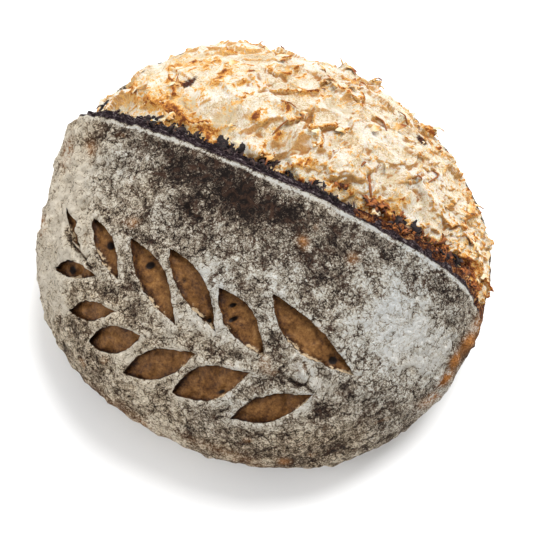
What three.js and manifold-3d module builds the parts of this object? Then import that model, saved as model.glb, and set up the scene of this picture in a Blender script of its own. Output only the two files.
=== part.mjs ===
// A hand-shaped sourdough loaf, millimetres, +Z up, standing on z = 0.
//
// The long slash runs along X. The flap of floured crust on the -Y side ends in a
// raised ear; behind it the loaf has burst open into a craggy bloom that reaches down
// to the back crust. A wheat ear of leaf-shaped cuts is scored into the flap.

import * as THREE from 'three';
import { LoftGeometry } from 'three/addons/geometries/LoftGeometry.js';
import { mergeVertices } from 'three/addons/utils/BufferGeometryUtils.js';
import Module from 'manifold-3d';

// ---------------------------------------------------------------- driving dimensions

const HALF_LENGTH = 113.0; // middle of the loaf to either end of the slash
const FRONT_REACH = 108.5; // from the middle line to the scored side
const BACK_REACH = 101.5; // from the middle line to the burst side
const DOME_TOP = 107.6; // height of the plain dome, without ear and bloom
const EQUATOR = 30.0; // height at which the loaf is widest
const UNDERSIDE = 50.0; // how far the rounded underside would reach below that

const MIDDLE = [-2.34, -3.67]; // centre of the finished outline, moved to the origin

const FRONT_ROUND = 2.24; // exponents of the superellipse outlines: plan, front
const BACK_ROUND = 2.15; // plan, back
const BACK_SKEW = 0.09; // pushes the fullest part of the back towards the left end
const END_ROUND = 2.23; // side view
const FLAP_FULL = 1.85; // section above the equator, front
const BLOOM_FULL = 2.1; // section above the equator, back

const EAR_LINE = 1.0; // y of the ear at mid length
const EAR_BOW = 7.2; // how far its ends curve back
const EAR_LEFT = -0.91; // where the ear starts, as a share of the half length
const EAR_RIGHT = 0.987; // and where it ends
const EAR_FADE = [0.15, 0.13]; // shares of the half length over which it dies out, left, right
const EAR_RISE = 5.0; // lift of the rim above the dome
const EAR_REACH = 14.0; // distance over which the flap sweeps up to the rim
const SHOULDER_RISE = 6.5; // extra lift of the rim's left corner
const SHOULDER_AT = -0.955;
const SHOULDER_HALF = 0.1;
const BAND_WIDTH = 5.0; // burnt strip between the rim and the torn edge
const BAND_SPREAD = 4.5; // how much wider it gets towards the right end
const BAND_SAG = 3.5; // and how much it sinks there
const BAND_CHANGE = [0.25, 0.8]; // between these shares of the half length
const CREVICE_DEPTH = 9.0; // from the torn edge down to the foot of the bloom
const CREVICE_WALL = 2.2; // thickness of the steep wall under the torn edge
const CREVICE_WIDTH = 6.0;
const BLOOM_SLOPE = 26.0; // distance over which the bloom swells up behind it
const RELIEF_FROM = [10, 60]; // section angles between which the flap starts to lift

const BLOOM_RISE = 7.2; // how far the burst crumb stands above the dome
const BLOOM_MIDDLE = 110.0; // section angle at which it stands highest, degrees
const BLOOM_SPREAD = 30.0; // degrees
const BLOOM_END_SINK = 0.8; // share of the rise lost at either end
const BLOOM_END = 153.0; // section angle where the back crust starts again
const BLOOM_END_DRAW = 22.0; // how much earlier it starts at either end
const BLOOM_SPILL = 12.0; // how much further down the crumb reaches on the right
const SPILL_FROM = [-0.74, -0.58]; // between these shares of the half length
const LIP_RISE = 1.8; // torn lip of the back crust
const LIP_AT = 2.0; // how far below the end of the bloom it stands, degrees
const LIP_HALF = 3.0; // degrees

const CRAG_SIZE = 19.0; // spacing of the crags on the bloom
const CRAG_TILT = 0.3; // slope of each crag's face
const CRAG_STEP = 1.5; // how much neighbouring crags differ in height
const CRAG_BOWL = 2.0; // hollow in the middle of each
const CRAG_LIMIT = 5.0; // bound on tilt and step together
const CRAG_FINE = 0.4; // share of the height that crags of half the size add
const LUMP_SIZE = 24.0; // spacing of the low lumps in the crust
const LUMP_RISE = 1.1;

const LEAF_DEPTH = 2.8; // depth of the scored leaves
const LEAF_STEPS = 8; // straight pieces along each side of a leaf
const LEAF_TIP = 1.1; // above 1: the side towards the slash is fullest beyond its middle
const LEAF_FOOT = 0.9; // below 1: the side towards the foot is fullest before its middle
const BLADE_REACH = 70.0; // length of a cutter, and the share of it below the stem's level
const BLADE_BELOW = 0.65;
const SCORE_LEVEL = [0, -78, 81]; // middle of the wheat ear's stem
const SCORE_TURN = -12; // degrees that the blade's direction turns from -Y towards +X
const SCORE_RISE = 52; // degrees above level that it comes from
// Leaves of the wheat ear, in the plane square to the blade: where the leaf meets the stem
// (right, up), its length, the direction of its tip in degrees, and its half widths towards
// the loaf's foot and towards the slash.
const LEAVES = [
  [-73.8, 2.5, 24.0, 157, 2.4, 2.0],
  [-47.3, 3.9, 33.2, 154, 4.2, 6.0],
  [-11.2, 3.9, 46.9, 155, 6.0, 7.6],
  [6.1, 11.7, 45.3, 155, 4.7, 8.1],
  [30.8, 14.4, 38.1, 156, 6.6, 7.2],
  [67.8, 25.9, 51.8, 163, 9.6, 4.0],
  [-59.0, -1.8, 29.0, 210, 2.8, 5.3],
  [-41.0, -9.1, 29.6, 218, 4.7, 5.5],
  [-23.3, -10.5, 32.1, 223, 7.4, 6.6],
  [3.7, -2.5, 41.4, 229, 7.3, 7.2],
  [29.3, 3.8, 41.5, 229, 8.0, 9.1],
  [57.9, 9.1, 40.3, 230, 6.6, 6.2],
];

// Scraps of crust: how many, their length, how deep they are rooted, and their width,
// thickness and curl as shares of the length.
const FLAKES = { count: 34, length: 7.5, root: 2.8, width: 0.7, thickness: 0.2, curl: 0.2 };
const TEETH = { count: 28, length: 4.5, root: 1.6, width: 0.9, thickness: 0.35, curl: 0.15 };
const FLAKE_LEAN = 1.2; // sideways lean of a flake, as a slope
const FLAKE_MARGIN = [10, 14]; // stations left free of flakes, right, left
const TOOTH_MARGIN = [0.08, 0.09]; // shares of the half length left free of teeth

const STATIONS = 58; // sections along the slash
const FLAP_ROWS = 12; // rows of a section on the flap
const BLOOM_ROWS = 24; // and on the bloom
const FOOT_ROWS = 5; // between the flat base and the equator, either side
const BASE_ROWS = 2; // across the flat base, either side
const BACK_ROWS = 4; // from the bloom down to the back equator
const BASE_FROM = 40; // degrees from straight down at which the flat base ends
const LAST_STATION = 87.6; // degrees from the middle; the small rings there are capped
const EVEN_FROM = [0.975, 0.995]; // shares of the half length over which the rows even out
const WELD = 0.04; // edges shorter than this close up when pieces are joined
const CRUST_COLOUR = '#9c9086';

// ------------------------------------------------------------------ numbers and noise

const RAD = Math.PI / 180;
const SALT = { lumps: 1, crags: 11, fineCrags: 31, flakes: 75, teeth: 83 }; // one per noise

function smooth(from, to, value) {
  const t = THREE.MathUtils.clamp((value - from) / (to - from), 0, 1);
  return t * t * (3 - 2 * t);
}

function hash(i, j, k, salt) {
  let h = Math.imul(i, 374761393) ^ Math.imul(j, 668265263);
  h ^= Math.imul(k, 1440662683) ^ Math.imul(salt, 974711423);
  h = Math.imul(h ^ (h >>> 13), 1274126177);
  h = Math.imul(h ^ (h >>> 15), 2246822519);
  return ((h ^ (h >>> 16)) >>> 0) / 4294967296;
}

function lump(point, size, salt) {
  const [x, y, z] = point.map((value) => value / size);
  const [i, j, k] = [x, y, z].map(Math.floor);
  const [u, v, w] = [x - i, y - j, z - k].map((t) => smooth(0, 1, t));
  const { lerp } = THREE.MathUtils;
  const edge = (b, c) => lerp(hash(i, j + b, k + c, salt), hash(i + 1, j + b, k + c, salt), u);
  return 2 * lerp(lerp(edge(0, 0), edge(1, 0), v), lerp(edge(0, 1), edge(1, 1), v), w) - 1;
}

// Height of a broken surface: tilted, hollow plates that meet in steps.
function crags(point, size, salt) {
  const cell = point.map((value) => Math.floor(value / size));
  let nearest = Infinity;
  let second = Infinity;
  let height = 0;
  for (let n = 0; n < 27; n += 1) {
    const key = [n % 3, Math.floor(n / 3) % 3, Math.floor(n / 9)].map((o, a) => cell[a] + o - 1);
    const offset = key.map((c, a) => point[a] / size - c - hash(...key, salt + a));
    const distance = Math.hypot(...offset);
    if (distance < nearest) {
      second = nearest;
      nearest = distance;
      const slope = offset.reduce((sum, o, a) => sum + o * (hash(...key, salt + 3 + a) - 0.5), 0);
      height = 2 * slope * CRAG_TILT * size + (hash(...key, salt + 6) - 0.5) * 2 * CRAG_STEP;
    } else if (distance < second) {
      second = distance;
    }
  }
  const rim = 1 - smooth(0, 0.3, second - nearest);
  const bowl = nearest - 1.3 + 0.5 * rim; // about 0 halfway out, 0.5 more along the ridges
  return height / (1 + Math.abs(height) / CRAG_LIMIT) + CRAG_BOWL * bowl;
}

// ------------------------------------------------------------------------ loaf section

const envelope = (s, power) => Math.max(0, 1 - Math.abs(s) ** power) ** (1 / power);

function widths(s) {
  return {
    front: FRONT_REACH * envelope(s, FRONT_ROUND),
    back: BACK_REACH * envelope(s + BACK_SKEW * (1 - s * s), BACK_ROUND),
    rise: envelope(s, END_ROUND),
  };
}

// Section angle, in degrees, at which the dome lies over y: 0 front, 90 top, 180 back.
function angleOver(s, y) {
  const { front, back } = widths(s);
  const across = THREE.MathUtils.clamp(y < 0 ? y / front : y / back, -0.999, 0.999);
  const full = y < 0 ? FLAP_FULL : BLOOM_FULL;
  return Math.atan2((1 - Math.abs(across) ** full) ** (1 / full), -across) / RAD;
}

// How full a section is: 1 over most of the loaf, 0 at its ends.
const narrowing = (s) => THREE.MathUtils.clamp(1.5 * envelope(s, BACK_ROUND), 0, 1);

// y of the ear; in the small sections at the ends it stays on the dome.
const earLine = (s) => Math.min(EAR_LINE + EAR_BOW * s * s, 0.55 * widths(s).back);

function earStrength(s) {
  const left = smooth(EAR_LEFT - EAR_FADE[0] / 3, EAR_LEFT + (2 * EAR_FADE[0]) / 3, s);
  return left * (1 - smooth(EAR_RIGHT + 0.01 - EAR_FADE[1], EAR_RIGHT + 0.01, s));
}

const earRise = (s) =>
  EAR_RISE * earStrength(s) + SHOULDER_RISE * Math.exp(-(((s - SHOULDER_AT) / SHOULDER_HALF) ** 2));

const bandWidth = (s) => (BAND_WIDTH + BAND_SPREAD * smooth(...BAND_CHANGE, s)) * narrowing(s);

const bloomEnd = (s) => BLOOM_END + BLOOM_SPILL * smooth(...SPILL_FROM, s);

// Plain dome, before relief.
function dome(s, degrees) {
  const { front, back, rise } = widths(s);
  const [c, q] = [Math.cos(degrees * RAD), Math.sin(degrees * RAD)];
  const full = c > 0 ? FLAP_FULL : BLOOM_FULL;
  const stretch = q > 0 ? (Math.abs(c) ** full + Math.abs(q) ** full) ** (-1 / full) : 1;
  const y = -c * stretch * (c > 0 ? front : back);
  const over = q > 0 ? (DOME_TOP - EQUATOR) * rise : UNDERSIDE * rise;
  return [HALF_LENGTH * s, y, Math.max(0, EQUATOR + q * stretch * over)];
}

function domeNormal(s, degrees) {
  const step = 0.004;
  const [low, high] = [Math.max(-1, s - step), Math.min(1, s + step)];
  const along = new THREE.Vector3(...dome(high, degrees)).sub(new THREE.Vector3(...dome(low, degrees)));
  const around = new THREE.Vector3(...dome(s, degrees + 0.5));
  around.sub(new THREE.Vector3(...dome(s, degrees - 0.5)));
  return along.cross(around).normalize();
}

// Height of the flap, ear, crevice and bloom above the dome; d is the distance behind the ear.
function reliefOver(s, degrees, d) {
  const strength = earStrength(s);
  if (d <= 0) {
    return earRise(s) * Math.exp(d / EAR_REACH);
  }
  const band = bandWidth(s);
  const sag = BAND_SAG * smooth(...BAND_CHANGE, s) * strength;
  const edge = earRise(s) + strength - sag;
  const rise = widths(s).rise * BLOOM_RISE * (1 - BLOOM_END_SINK * smooth(0.1, 0.95, Math.abs(s)));
  const swell = rise * Math.exp(-(((degrees - BLOOM_MIDDLE) / BLOOM_SPREAD) ** 2));
  if (d <= band) {
    return THREE.MathUtils.lerp(earRise(s), edge, d / band);
  }
  const out = d - band;
  const behind = edge * (1 - smooth(0, CREVICE_WIDTH, out) * (1 - strength));
  const drop = behind - (CREVICE_DEPTH - sag) * strength * smooth(0, CREVICE_WALL, out);
  return THREE.MathUtils.lerp(drop, swell, smooth(1, BLOOM_SLOPE, out));
}

// How much of the torn crumb shows at a place: 0 on crust, 1 on the bloom.
function tornShare(s, degrees, d) {
  const far = bloomEnd(s) - BLOOM_END_DRAW * smooth(0.8, 1, Math.abs(s));
  const back = 1 - smooth(far - LIP_HALF, far + LIP_HALF, degrees);
  return smooth(1, CREVICE_WIDTH, d - bandWidth(s)) * back * narrowing(s);
}

// Place on the finished loaf. Relief fades out around the equator, 20 degrees below it.
function surface(s, degrees) {
  const place = dome(s, degrees);
  if (degrees < -20 || degrees > 200 || place[2] <= 0) {
    return new THREE.Vector3(...place);
  }
  const normal = domeNormal(s, degrees);
  const behind = place[1] - earLine(s);
  const torn = tornShare(s, degrees, behind);
  const upper = smooth(-20, 15, degrees) * (1 - smooth(165, 200, degrees)) * narrowing(s);
  const lip = (degrees - bloomEnd(s) - LIP_AT) / LIP_HALF;
  let out = upper * (1 - torn) * LUMP_RISE * lump(place, LUMP_SIZE, SALT.lumps);
  out += LIP_RISE * Math.exp(-lip * lip) * narrowing(s);
  const fine = CRAG_FINE * crags(place, 0.5 * CRAG_SIZE, SALT.fineCrags);
  out += torn * (crags(place, CRAG_SIZE, SALT.crags) + fine);
  const relief = reliefOver(s, degrees, behind) * smooth(...RELIEF_FROM, degrees);
  // the ear lifts straight up, the bloom along the dome's own direction
  const tilt = Math.max(smooth(0, 30, behind), 0.7 * smooth(0.8, 0.97, Math.abs(s)));
  const direction = new THREE.Vector3(0, 0, 1).lerp(normal, tilt).normalize();
  return new THREE.Vector3(...place).addScaledVector(direction, relief).addScaledVector(normal, out);
}

// --------------------------------------------------------------------------- main body

// Place of a section along the loaf, as a share of the half length.
const stationAt = (n) =>
  Math.sin(RAD * THREE.MathUtils.lerp(LAST_STATION, -LAST_STATION, n / (STATIONS - 1)));

const spread = (from, to, count) =>
  Array.from({ length: count }, (_, n) => THREE.MathUtils.lerp(from, to, n / count));

// Section angles of the rim, the torn edge and the crevice.
function earAngles(s) {
  const band = bandWidth(s);
  const beyond = [0.15, 0.5, 1].map((share) => band + share * CREVICE_WIDTH * narrowing(s));
  return [0, 0.5 * band, band, ...beyond].map((d) => angleOver(s, earLine(s) + d));
}

const bloomAngles = (s) => spread(earAngles(s).at(-1), bloomEnd(s) - LIP_HALF, BLOOM_ROWS);

// Section angles of one ring; the rows even out in the small rings at the ends.
function ringAngles(s) {
  const rows = [
    ...spread(-90, BASE_FROM - 90, BASE_ROWS),
    ...spread(BASE_FROM - 90, 0, FOOT_ROWS),
    ...spread(0, earAngles(s)[0], FLAP_ROWS),
    ...earAngles(s),
    ...bloomAngles(s).slice(1),
    ...spread(bloomEnd(s) - LIP_HALF, 180, BACK_ROWS),
    ...spread(180, 270 - BASE_FROM, FOOT_ROWS),
    ...spread(270 - BASE_FROM, 270, BASE_ROWS),
  ];
  const even = smooth(...EVEN_FROM, Math.abs(s));
  return rows.map((row, n) => THREE.MathUtils.lerp(row, -90 + (360 * n) / rows.length, even));
}

function ring(s, inset) {
  return ringAngles(s).map((degrees) => {
    const point = surface(s, degrees);
    return inset ? point.addScaledVector(domeNormal(s, degrees), -inset) : point;
  });
}

function body(inset) {
  const sections = Array.from({ length: STATIONS }, (_, n) => ring(stationAt(n), inset));
  return new LoftGeometry(sections, { capStart: true, capEnd: true });
}

// ------------------------------------------------------------------------------ solids

const wasm = await Module();
wasm.setup();

function solid(geometry) {
  const bare = new THREE.BufferGeometry().copy(geometry);
  bare.deleteAttribute('normal');
  bare.deleteAttribute('uv');
  const merged = mergeVertices(bare, 1e-4);
  const vertProperties = new Float32Array(merged.attributes.position.array);
  const triVerts = new Uint32Array(merged.index.array);
  const mesh = new wasm.Mesh({ numProp: 3, vertProperties, triVerts, tolerance: WELD });
  return new wasm.Manifold(mesh);
}

function geometryOf(manifold) {
  const mesh = manifold.getMesh();
  const geometry = new THREE.BufferGeometry();
  geometry.setAttribute('position', new THREE.BufferAttribute(new Float32Array(mesh.vertProperties), 3));
  geometry.setIndex(new THREE.BufferAttribute(new Uint32Array(mesh.triVerts), 1));
  geometry.computeVertexNormals();
  return geometry;
}

// ------------------------------------------------------------------------- scored leaves

// Outline of a leaf along +X; local +Y is its side towards the loaf's foot.
function leafShape(length, lower, upper) {
  const side = (width, skew) =>
    spread(0, 1, LEAF_STEPS).map(
      (along) => new THREE.Vector2(along * length, width * Math.sin(Math.PI * along ** skew)),
    );
  const back = side(lower, LEAF_FOOT).map((p) => new THREE.Vector2(length - p.x, p.y));
  return new THREE.Shape([...side(-upper, LEAF_TIP), ...back]);
}

function leafCutter([right, up, length, turn, lower, upper]) {
  const blade = new THREE.ExtrudeGeometry(leafShape(length, lower, upper), {
    depth: BLADE_REACH,
    bevelEnabled: false,
  });
  blade.translate(0, 0, -BLADE_BELOW * BLADE_REACH);
  blade.rotateZ(turn * RAD);
  blade.translate(right, up, 0);
  blade.rotateX(Math.PI / 2 - SCORE_RISE * RAD);
  blade.rotateZ(SCORE_TURN * RAD);
  blade.translate(...SCORE_LEVEL);
  return solid(blade);
}

// ----------------------------------------------------------------------- flakes and teeth

// A flat, pointed scrap of crust that stands at a place and curls over.
function scrap(place, up, forward, kind, size) {
  const length = kind.length * size;
  const cone = new THREE.ConeGeometry(1, 1, 4, 2);
  cone.translate(0, 0.5, 0);
  const points = cone.attributes.position;
  for (let n = 0; n < points.count; n += 1) {
    const along = points.getY(n);
    const bend = kind.curl * along * along;
    points.setX(n, points.getX(n) * 0.5 * kind.width * length);
    points.setY(n, along * length);
    points.setZ(n, (points.getZ(n) * 0.5 * kind.thickness + bend) * length);
  }
  const side = new THREE.Vector3().crossVectors(up, forward).normalize();
  const front = new THREE.Vector3().crossVectors(side, up).normalize();
  const frame = new THREE.Matrix4().makeBasis(side, up, front);
  const root = place.clone().addScaledVector(up, -kind.root);
  cone.applyMatrix4(frame.setPosition(root));
  return solid(cone);
}

// Flakes stand on points of the bloom's own mesh, so that their roots are always inside it.
function flakes() {
  return Array.from({ length: FLAKES.count }, (_, n) => {
    const draw = (salt) => hash(n, salt, 5, SALT.flakes);
    const share = (n + draw(1)) / FLAKES.count;
    const [first, last] = [FLAKE_MARGIN[0], STATIONS - FLAKE_MARGIN[1]];
    const s = stationAt(Math.round(THREE.MathUtils.lerp(first, last, share)));
    const degrees = bloomAngles(s)[3 + Math.floor(draw(2) * (BLOOM_ROWS - 5))];
    const turn = 2 * Math.PI * draw(3);
    const sway = new THREE.Vector3(Math.cos(turn), Math.sin(turn), 0);
    const up = domeNormal(s, degrees).addScaledVector(sway, FLAKE_LEAN).normalize();
    return scrap(surface(s, degrees), up, sway, FLAKES, 0.7 + 0.6 * draw(4));
  });
}

function teeth() {
  return Array.from({ length: TEETH.count }, (_, n) => {
    const draw = (salt) => hash(n, salt, 9, SALT.teeth);
    const [first, last] = [EAR_LEFT + TOOTH_MARGIN[0], EAR_RIGHT - TOOTH_MARGIN[1]];
    const s = THREE.MathUtils.lerp(first, last, (n + draw(1)) / TEETH.count);
    const degrees = angleOver(s, earLine(s) + bandWidth(s) * 0.97);
    const up = new THREE.Vector3(draw(2) - 0.5, 0.5 * draw(3), 0.8).normalize();
    const back = new THREE.Vector3(0, 1, 0);
    return scrap(surface(s, degrees), up, back, TEETH, 0.6 + 0.7 * draw(4));
  });
}

// ---------------------------------------------------------------------------- assembly

let crust = solid(body(0));
const core = solid(body(LEAF_DEPTH));
for (const leaf of LEAVES) {
  crust = crust.subtract(leafCutter(leaf).subtract(core));
}
for (const piece of [...flakes(), ...teeth()]) {
  crust = crust.add(piece);
}

const loaf = new THREE.Mesh(
  geometryOf(crust).translate(-MIDDLE[0], -MIDDLE[1], 0),
  new THREE.MeshStandardMaterial({ color: CRUST_COLOUR, roughness: 0.9, metalness: 0 }),
);
loaf.name = 'loaf';

const part = new THREE.Group();
part.add(loaf);

export default part;
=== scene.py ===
"""A hand-shaped sourdough loaf on a pale studio floor.

The loaf stands on z = 0 with its long slash along X. Three bodies of mesh make it up: the
floured crust, the torn bloom that pushes up behind the ear, and small scraps of crust that
stand on both. Shapes are worked out in millimetres and become metres when a mesh is made.
What has its own place in the photograph is placed by that photograph's pixels.
"""

import math
from types import SimpleNamespace

import bpy
import numpy as np
from mathutils import Matrix, Vector
from mathutils.kdtree import KDTree


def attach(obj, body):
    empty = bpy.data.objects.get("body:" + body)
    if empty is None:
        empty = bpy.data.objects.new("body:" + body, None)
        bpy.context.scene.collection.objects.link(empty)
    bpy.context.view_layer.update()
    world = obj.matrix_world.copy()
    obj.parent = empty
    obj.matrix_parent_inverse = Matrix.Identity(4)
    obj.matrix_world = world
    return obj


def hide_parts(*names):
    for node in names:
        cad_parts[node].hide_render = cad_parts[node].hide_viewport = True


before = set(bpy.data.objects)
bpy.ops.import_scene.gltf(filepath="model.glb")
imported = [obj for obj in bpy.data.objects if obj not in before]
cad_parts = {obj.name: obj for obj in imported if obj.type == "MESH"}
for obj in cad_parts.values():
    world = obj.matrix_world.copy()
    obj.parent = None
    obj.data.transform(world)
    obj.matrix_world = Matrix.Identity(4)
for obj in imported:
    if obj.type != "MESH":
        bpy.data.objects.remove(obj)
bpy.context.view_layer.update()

MM = 0.001
RAD = math.pi / 180

# --------------------------------------------------------------------- driving dimensions

# Lengths are in mm and angles in degrees. A place along the loaf is a station from -1 to 1,
# a place round its section an angle: 0 to the front, 90 on top and 180 at the back.
HALF_LENGTH = 113.0
FRONT_REACH = 108.5
BACK_REACH = 101.5
DOME_TOP = 107.6
EQUATOR = 30.0
UNDERSIDE = 50.0
MIDDLE = np.array([-2.34, -3.67, 0.0])

FRONT_ROUND = 2.24
BACK_ROUND = 2.15
BACK_SKEW = 0.09
END_ROUND = 2.23
FLAP_FULL = 1.85
BLOOM_FULL = 2.1

EAR_LINE = 1.0
EAR_BOW = 7.2
EAR_LEFT = -0.91
EAR_RIGHT = 0.987
EAR_RISE = 5.0
EAR_REACH = 14.0
SHOULDER_RISE = 6.5
SHOULDER_AT = -0.955
SHOULDER_HALF = 0.1
BAND_WIDTH = 5.0
BAND_SPREAD = 4.5
CREVICE_DEPTH = 9.0
CREVICE_WIDTH = 6.0
CREVICE_LIP = 2.2
BLOOM_SLOPE = 26.0
WIDE_END = (0.25, 0.8)
WIDE_END_SAG = 3.5

BLOOM_RISE = 7.2
BLOOM_MIDDLE = 110.0
BLOOM_SPREAD = 30.0
BLOOM_END_SINK = 0.8
BLOOM_END = 153.0
BLOOM_SPILL = 12.0
SPILL_FROM = (-0.74, -0.58)
BLOOM_FRAY = 4.0
LEFT_DRAW = 22.0
RIGHT_DRAW = 8.0
TORN_BORDER = 3.0
LIP_RISE = 1.8
LIP_HALF = 3.0

CRAG_SIZE = 19.0
CRAG_TILT = 0.3
CRAG_STEP = 1.5
CRAG_BOWL = 2.0
CRAG_LIMIT = 5.0
LUMP_SIZE = 24.0
LUMP_RISE = 1.1

CRACK_DEPTH = 1.1
LEAF_DEPTH = 2.8
SCORE_LEVEL = np.array([0.0, -78.0, 81.0])
LEAF_PUFF = 1.1
FOOT_SIDE_FULL = 0.9
SLASH_SIDE_FULL = 1.1
SCORE_TURN = -12.0
SCORE_RISE = 52.0
# Leaves of the wheat ear in the plane square to the blade: where the leaf meets the stem
# (right, up), its length, the direction of its tip in degrees, and its half widths towards
# the loaf's foot and towards the slash.
LEAVES = [
    (-73.8, 2.5, 24.0, 157, 2.4, 2.0),
    (-47.3, 3.9, 33.2, 154, 4.2, 6.0),
    (-11.2, 3.9, 46.9, 155, 6.0, 7.6),
    (6.1, 11.7, 45.3, 155, 4.7, 8.1),
    (30.8, 14.4, 38.1, 156, 6.6, 7.2),
    (67.8, 25.9, 51.8, 163, 9.6, 4.0),
    (-59.0, -1.8, 29.0, 210, 2.8, 5.3),
    (-41.0, -9.1, 29.6, 218, 4.7, 5.5),
    (-23.3, -10.5, 32.1, 223, 7.4, 6.6),
    (3.7, -2.5, 41.4, 229, 7.3, 7.2),
    (29.3, 3.8, 41.5, 229, 8.0, 9.1),
    (57.9, 9.1, 40.3, 230, 6.6, 6.2),
]

# --------------------------------------------------------------------------- the camera

IMAGE = 533
CAMERA_RISE = 65.0
CAMERA_TURN = 26.2
CAMERA_DISTANCE = 1000.0
PIXELS_PER_MM = 2.0
AIM = np.array([2.34, 17.37, 45.0])
AIM_PIXEL = (279.0, 218.0)
SENSOR = 36.0

turn = CAMERA_TURN * RAD
rise = CAMERA_RISE * RAD
VIEW_RIGHT = np.array([math.cos(turn), math.sin(turn), 0])
VIEW_LEVEL = np.array([-math.sin(turn), math.cos(turn), 0])
VIEW_AHEAD = VIEW_LEVEL * math.cos(rise) - np.array([0, 0, math.sin(rise)])
VIEW_UP = np.cross(VIEW_RIGHT, VIEW_AHEAD)


def pixels_of(points):
    """Where points of the part's frame, in mm, show in the picture."""
    offset = points - AIM
    scale = PIXELS_PER_MM * CAMERA_DISTANCE / (CAMERA_DISTANCE + offset @ VIEW_AHEAD)
    across = AIM_PIXEL[0] + scale * (offset @ VIEW_RIGHT)
    down = AIM_PIXEL[1] - scale * (offset @ VIEW_UP)
    return across, down


def make_camera():
    """A camera without lens shift, turned so that AIM shows at AIM_PIXEL."""
    across = (IMAGE / 2 - AIM_PIXEL[0]) / PIXELS_PER_MM
    down = (IMAGE / 2 - AIM_PIXEL[1]) / PIXELS_PER_MM
    place = AIM - CAMERA_DISTANCE * VIEW_AHEAD
    target = AIM + across * VIEW_RIGHT - down * VIEW_UP
    ahead = Vector(target - place).normalized()
    right = ahead.cross(Vector(VIEW_UP)).normalized()
    up = right.cross(ahead)
    camera = bpy.data.cameras.new("camera")
    camera.sensor_width = SENSOR
    camera.lens = SENSOR * PIXELS_PER_MM * CAMERA_DISTANCE / IMAGE
    camera.clip_start = 0.01
    thing = bpy.data.objects.new("camera", camera)
    turned = Matrix((right, up, -ahead)).transposed().to_4x4()
    thing.matrix_world = Matrix.Translation(Vector(place) * MM) @ turned
    bpy.context.scene.collection.objects.link(thing)
    bpy.context.scene.camera = thing


# ------------------------------------------------------------------ numbers and noise


def smooth(low, high, value):
    """0 below low, 1 above high and an S-shaped change between, or the other way round."""
    t = np.clip((value - low) / (high - low), 0, 1)
    return t * t * (3 - 2 * t)


def blend(low, high, share):
    return low + (high - low) * share


def plateau(rise, full, fall, gone, value):
    """0 below rise, 1 from full to fall, and 0 above gone."""
    return smooth(rise, full, value) * (1 - smooth(fall, gone, value))


def bell(value, middle, width):
    """1 at middle, falling to 0 within about twice width to either side."""
    return np.exp(-(((value - middle) / width) ** 2))


def rotated(x, y, degrees):
    """How far a place lies along a direction and across it."""
    c, s = math.cos(degrees * RAD), math.sin(degrees * RAD)
    return c * x + s * y, c * y - s * x


def chance(i, j, k, salt):
    """A number from 0 to 1 that is fixed by four whole numbers."""
    i, j, k, salt = (np.asarray(v, np.int64).astype(np.uint32) for v in (i, j, k, salt))
    h = i * np.uint32(374761393) ^ j * np.uint32(668265263)
    h = h ^ k * np.uint32(1440662683) ^ salt * np.uint32(974711423)
    h = (h ^ (h >> np.uint32(13))) * np.uint32(1274126177)
    h = (h ^ (h >> np.uint32(15))) * np.uint32(2246822519)
    return (h ^ (h >> np.uint32(16))) / 4294967296.0


def lump(points, size, salt):
    """Smooth noise from -1 to 1 with bumps of one size."""
    scaled = points / size
    cell = np.floor(scaled)
    u, v, w = np.moveaxis(smooth(0, 1, scaled - cell), -1, 0)
    i, j, k = np.moveaxis(cell, -1, 0)

    def edge(b, c):
        return blend(chance(i, j + b, k + c, salt), chance(i + 1, j + b, k + c, salt), u)

    return 2 * blend(blend(edge(0, 0), edge(1, 0), v), blend(edge(0, 1), edge(1, 1), v), w) - 1


def rough(points, size, salt, octaves=3):
    """Lumps on lumps, each half as large and half as high."""
    return sum(0.5**n * lump(points, size * 0.5**n, salt + n) for n in range(octaves))


def cells(points, size, salt):
    """Distance to the two nearest seed points, and the cell of the nearest and the way to it."""
    scaled = points / size
    cell = np.floor(scaled)
    nearest = np.full(points.shape[:-1], np.inf)
    second = nearest.copy()
    found = np.zeros_like(scaled)
    offset_found = np.zeros_like(scaled)
    for n in range(27):
        key = cell + np.array([n % 3 - 1, n // 3 % 3 - 1, n // 9 - 1])
        k = np.moveaxis(key, -1, 0)
        seed = np.stack([chance(*k, salt + a) for a in range(3)], -1)
        offset = scaled - key - seed
        distance = np.linalg.norm(offset, axis=-1)
        closer = distance < nearest
        second = np.where(closer, nearest, np.minimum(second, distance))
        nearest = np.where(closer, distance, nearest)
        found = np.where(closer[..., None], key, found)
        offset_found = np.where(closer[..., None], offset, offset_found)
    return nearest, second, np.moveaxis(found, -1, 0), offset_found


def cell_tilt(key, salt):
    """The slope of the plate that fills a cell."""
    return np.stack([chance(*key, salt + a) - 0.5 for a in range(3)], -1)


def crags(points, size, salt):
    """Height of a broken surface: tilted, hollow plates that meet in steps."""
    nearest, second, key, offset = cells(points, size, salt)
    height = 2 * (cell_tilt(key, salt + 3) * offset).sum(-1) * CRAG_TILT * size
    height += (chance(*key, salt + 6) - 0.5) * 2 * CRAG_STEP
    rim = 1 - smooth(0, 0.3, second - nearest)
    return height / (1 + abs(height) / CRAG_LIMIT) + CRAG_BOWL * (nearest - 1.3 + 0.5 * rim)


# ---------------------------------------------------------------------- the loaf's form


def envelope(s, power):
    """Share of a width that is left at station s, which goes from -1 to 1 along the loaf."""
    return np.maximum(0, 1 - abs(s) ** power) ** (1 / power)


def widths(s):
    """Reach of the loaf to the front and to the back in mm, and its share of the height."""
    front = FRONT_REACH * envelope(s, FRONT_ROUND)
    back = BACK_REACH * envelope(s + BACK_SKEW * (1 - s * s), BACK_ROUND)
    return front, back, envelope(s, END_ROUND)


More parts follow.
